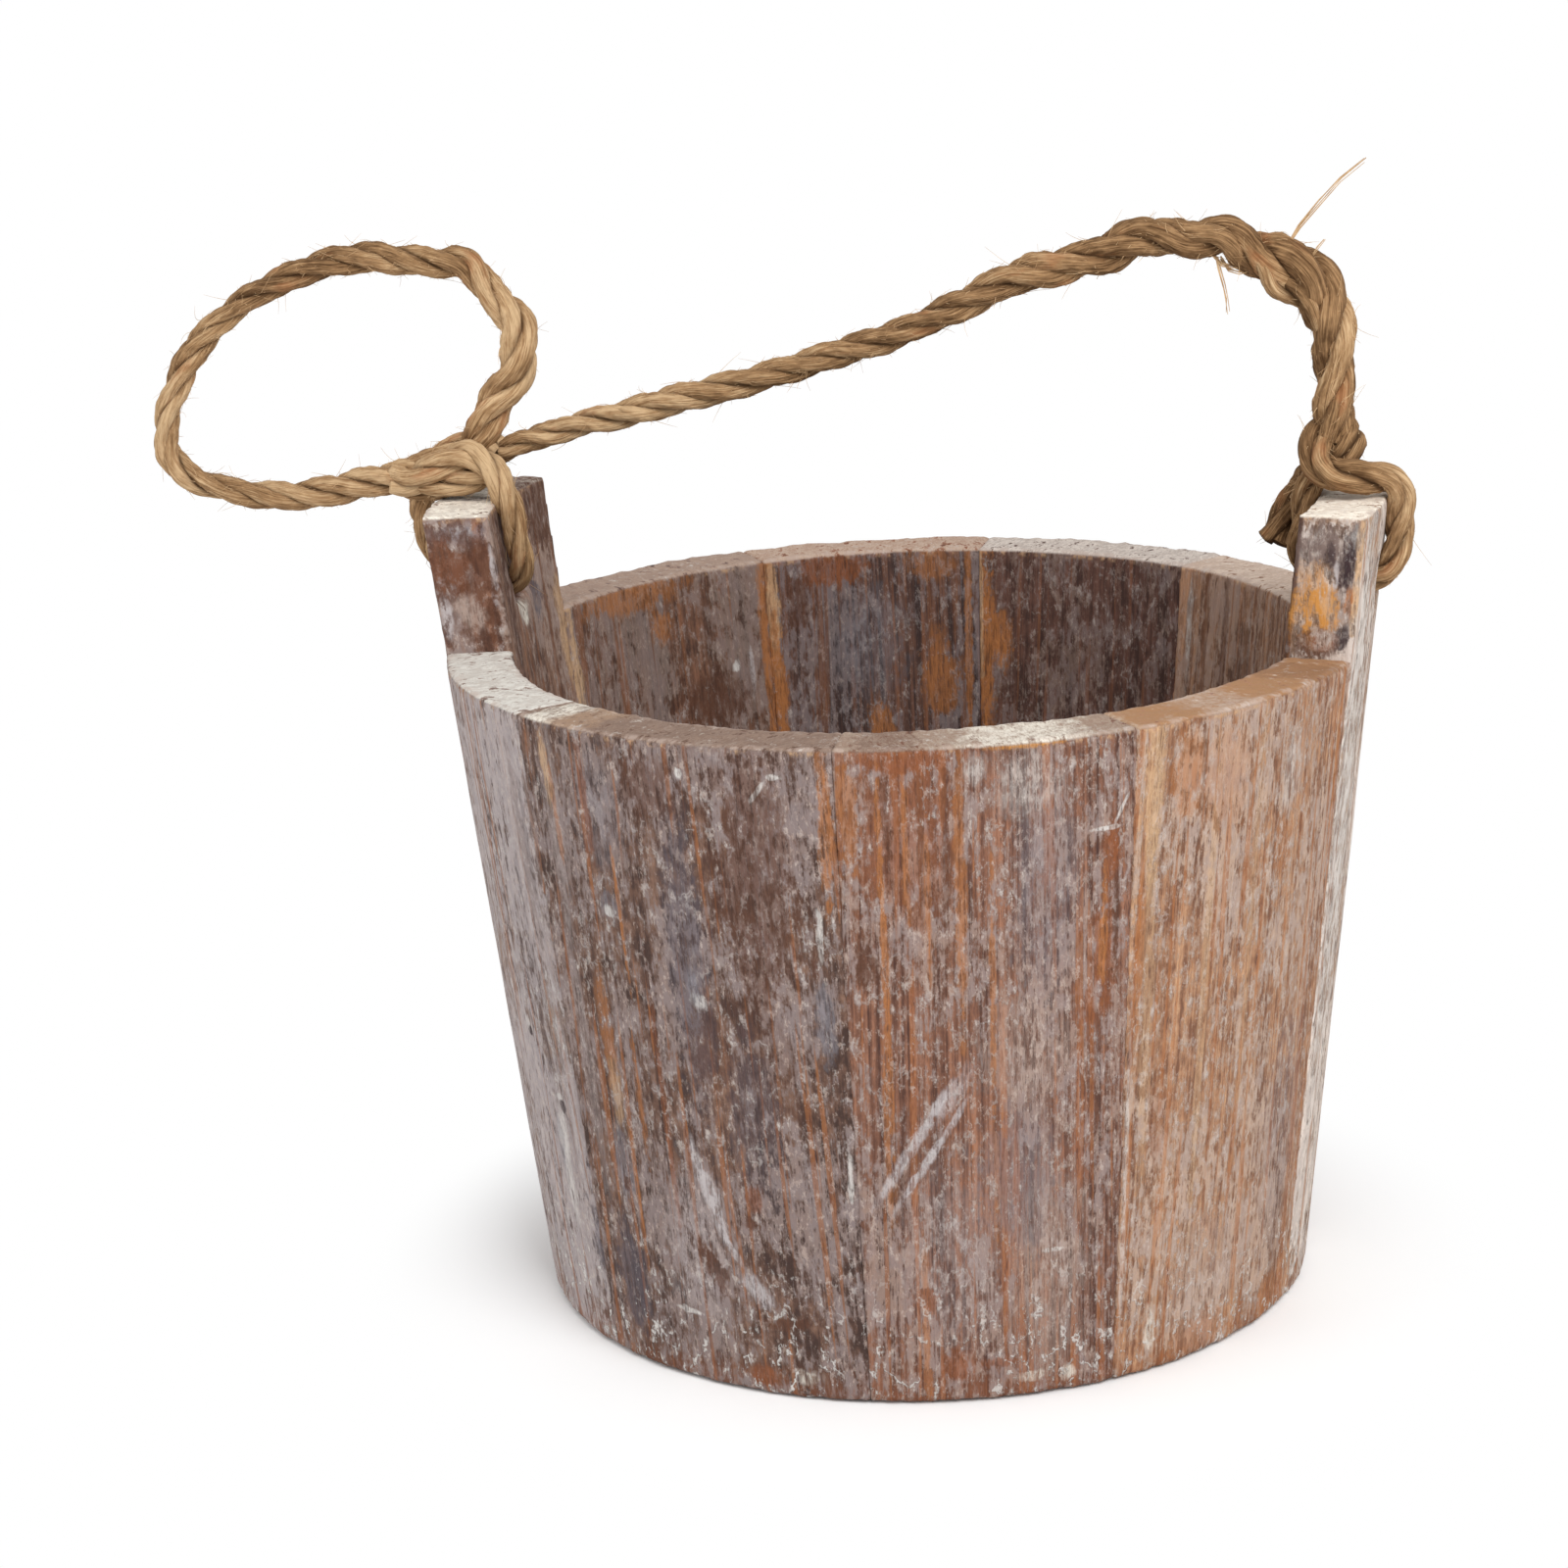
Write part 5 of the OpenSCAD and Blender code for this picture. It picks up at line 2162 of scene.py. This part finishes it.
@dataclass
class Studio:
    """Camera, plain floor and soft light.

    Attributes:
        place: Where the camera stands, in metres.
        azimuth: Its turn round the upright, in degrees.
        elevation: How far it looks down, in degrees.
        roll: Its tilt, in degrees.
        lens: Its focal length, in millimetres.
        ambient: Strength of the even light.
    """

    place: Point = (0.1502, -0.7760, 0.3259)
    azimuth: float = 13.0
    elevation: float = 15.304
    roll: float = -2.58
    lens: float = 85.82
    ambient: float = 0.62

    LAMPS = (("key", (0.55, -0.75, 0.95), 0.7, 11.5), ("fill", (-0.9, -0.5, 0.6), 0.9, 3.0))
    AIM = (0, 0, 0.1)
    NEAR = 0.01
    FLOOR_RADIUS = 6
    FLOOR_SIDES = 96
    FLOOR_DROP = 0.5 * MM
    SHADOW_END = (0.08, 0.13)
    WHITE = (1, 1, 1, 1)

    def build(self) -> None:
        """Set up the camera, the floor, the lamps and the world."""
        self._camera()
        self._floor()
        for name, place, size, power in self.LAMPS:
            self._lamp(name, place, size, power)
        self._world()
        bpy.context.scene.view_settings.view_transform = "Standard"

    def _camera(self) -> None:
        """Place the camera at the photograph's angle."""
        lens = bpy.data.cameras.new("camera")
        lens.lens = self.lens
        lens.clip_start = self.NEAR
        camera = linked("camera", lens)
        camera.matrix_world = (
            Matrix.Translation(self.place)
            @ Matrix.Rotation(math.radians(self.azimuth), 4, "Z")
            @ Matrix.Rotation(math.radians(90 - self.elevation), 4, "X")
            @ Matrix.Rotation(math.radians(self.roll), 4, "Z")
        )
        bpy.context.scene.camera = camera

    def _floor(self) -> None:
        """Lay a pale floor that turns plain white away from the bucket."""
        bpy.ops.object.select_all(action="DESELECT")
        bpy.ops.mesh.primitive_circle_add(
            vertices=self.FLOOR_SIDES,
            radius=self.FLOOR_RADIUS,
            fill_type="NGON",
            location=(0, 0, -self.FLOOR_DROP),
        )
        floor = bpy.context.active_object
        floor.name = "studio_floor"
        bpy.ops.object.transform_apply(location=True)
        bench = Bench(bpy.data.materials.new("studio_floor"))
        distance = bench.vector("LENGTH", bench.point()).sibling("Value")
        seen = bench.node("ShaderNodeLightPath", output="Is Camera Ray")
        plain = bench.node("ShaderNodeBsdfDiffuse", None, {"Color": tone(250, 250, 250)})
        white = bench.node("ShaderNodeEmission", None, {"Color": self.WHITE, "Strength": 1.0})
        share = distance.step(*self.SHADOW_END) * seen
        mixed = bench.node("ShaderNodeMixShader", None, {0: share, 1: plain, 2: white})
        floor.data.materials.append(bench.show(mixed))

    def _lamp(self, name: str, place: Point, size: float, power: float) -> None:
        """Hang a square lamp that faces the bucket.

        Args:
            name: Its name.
            place: Where it hangs, in metres.
            size: Length of its side, in metres.
            power: Its power, in watts.
        """
        light = bpy.data.lights.new(name, "AREA")
        light.size = size
        light.energy = power
        lamp = linked(name, light)
        lamp.location = place
        lamp.rotation_euler = (Vector(self.AIM) - Vector(place)).to_track_quat("-Z", "Y").to_euler()

    def _world(self) -> None:
        """Light the scene evenly, with plain white behind it."""
        world = bpy.data.worlds.new("world")
        bpy.context.scene.world = world
        bench = Bench(world)
        rays = bench.node("ShaderNodeLightPath", output="Is Camera Ray")
        mirrored = rays.sibling("Is Glossy Ray").greater(rays.sibling("Is Transmission Ray"))
        levels = {"Value": rays.greater(mirrored), "To Min": self.ambient, "To Max": 1.0}
        strength = bench.node("ShaderNodeMapRange", None, levels)
        light = bench.node("ShaderNodeBackground", None, {"Color": self.WHITE, "Strength": strength})
        bench.show(light, "ShaderNodeOutputWorld")


def main() -> None:
    """Build the studio and every sub-assembly."""
    logging.basicConfig(level=logging.INFO, format="%(name)s: %(message)s")
    Studio().build()
    Rigging().build()
    bucket = BucketForm.measured()
    LOG.info("bucket: %s", bucket)
    Staves(bucket).build()
    Floor().build()
    Pegs().dress()


if __name__ == "__main__":
    main()
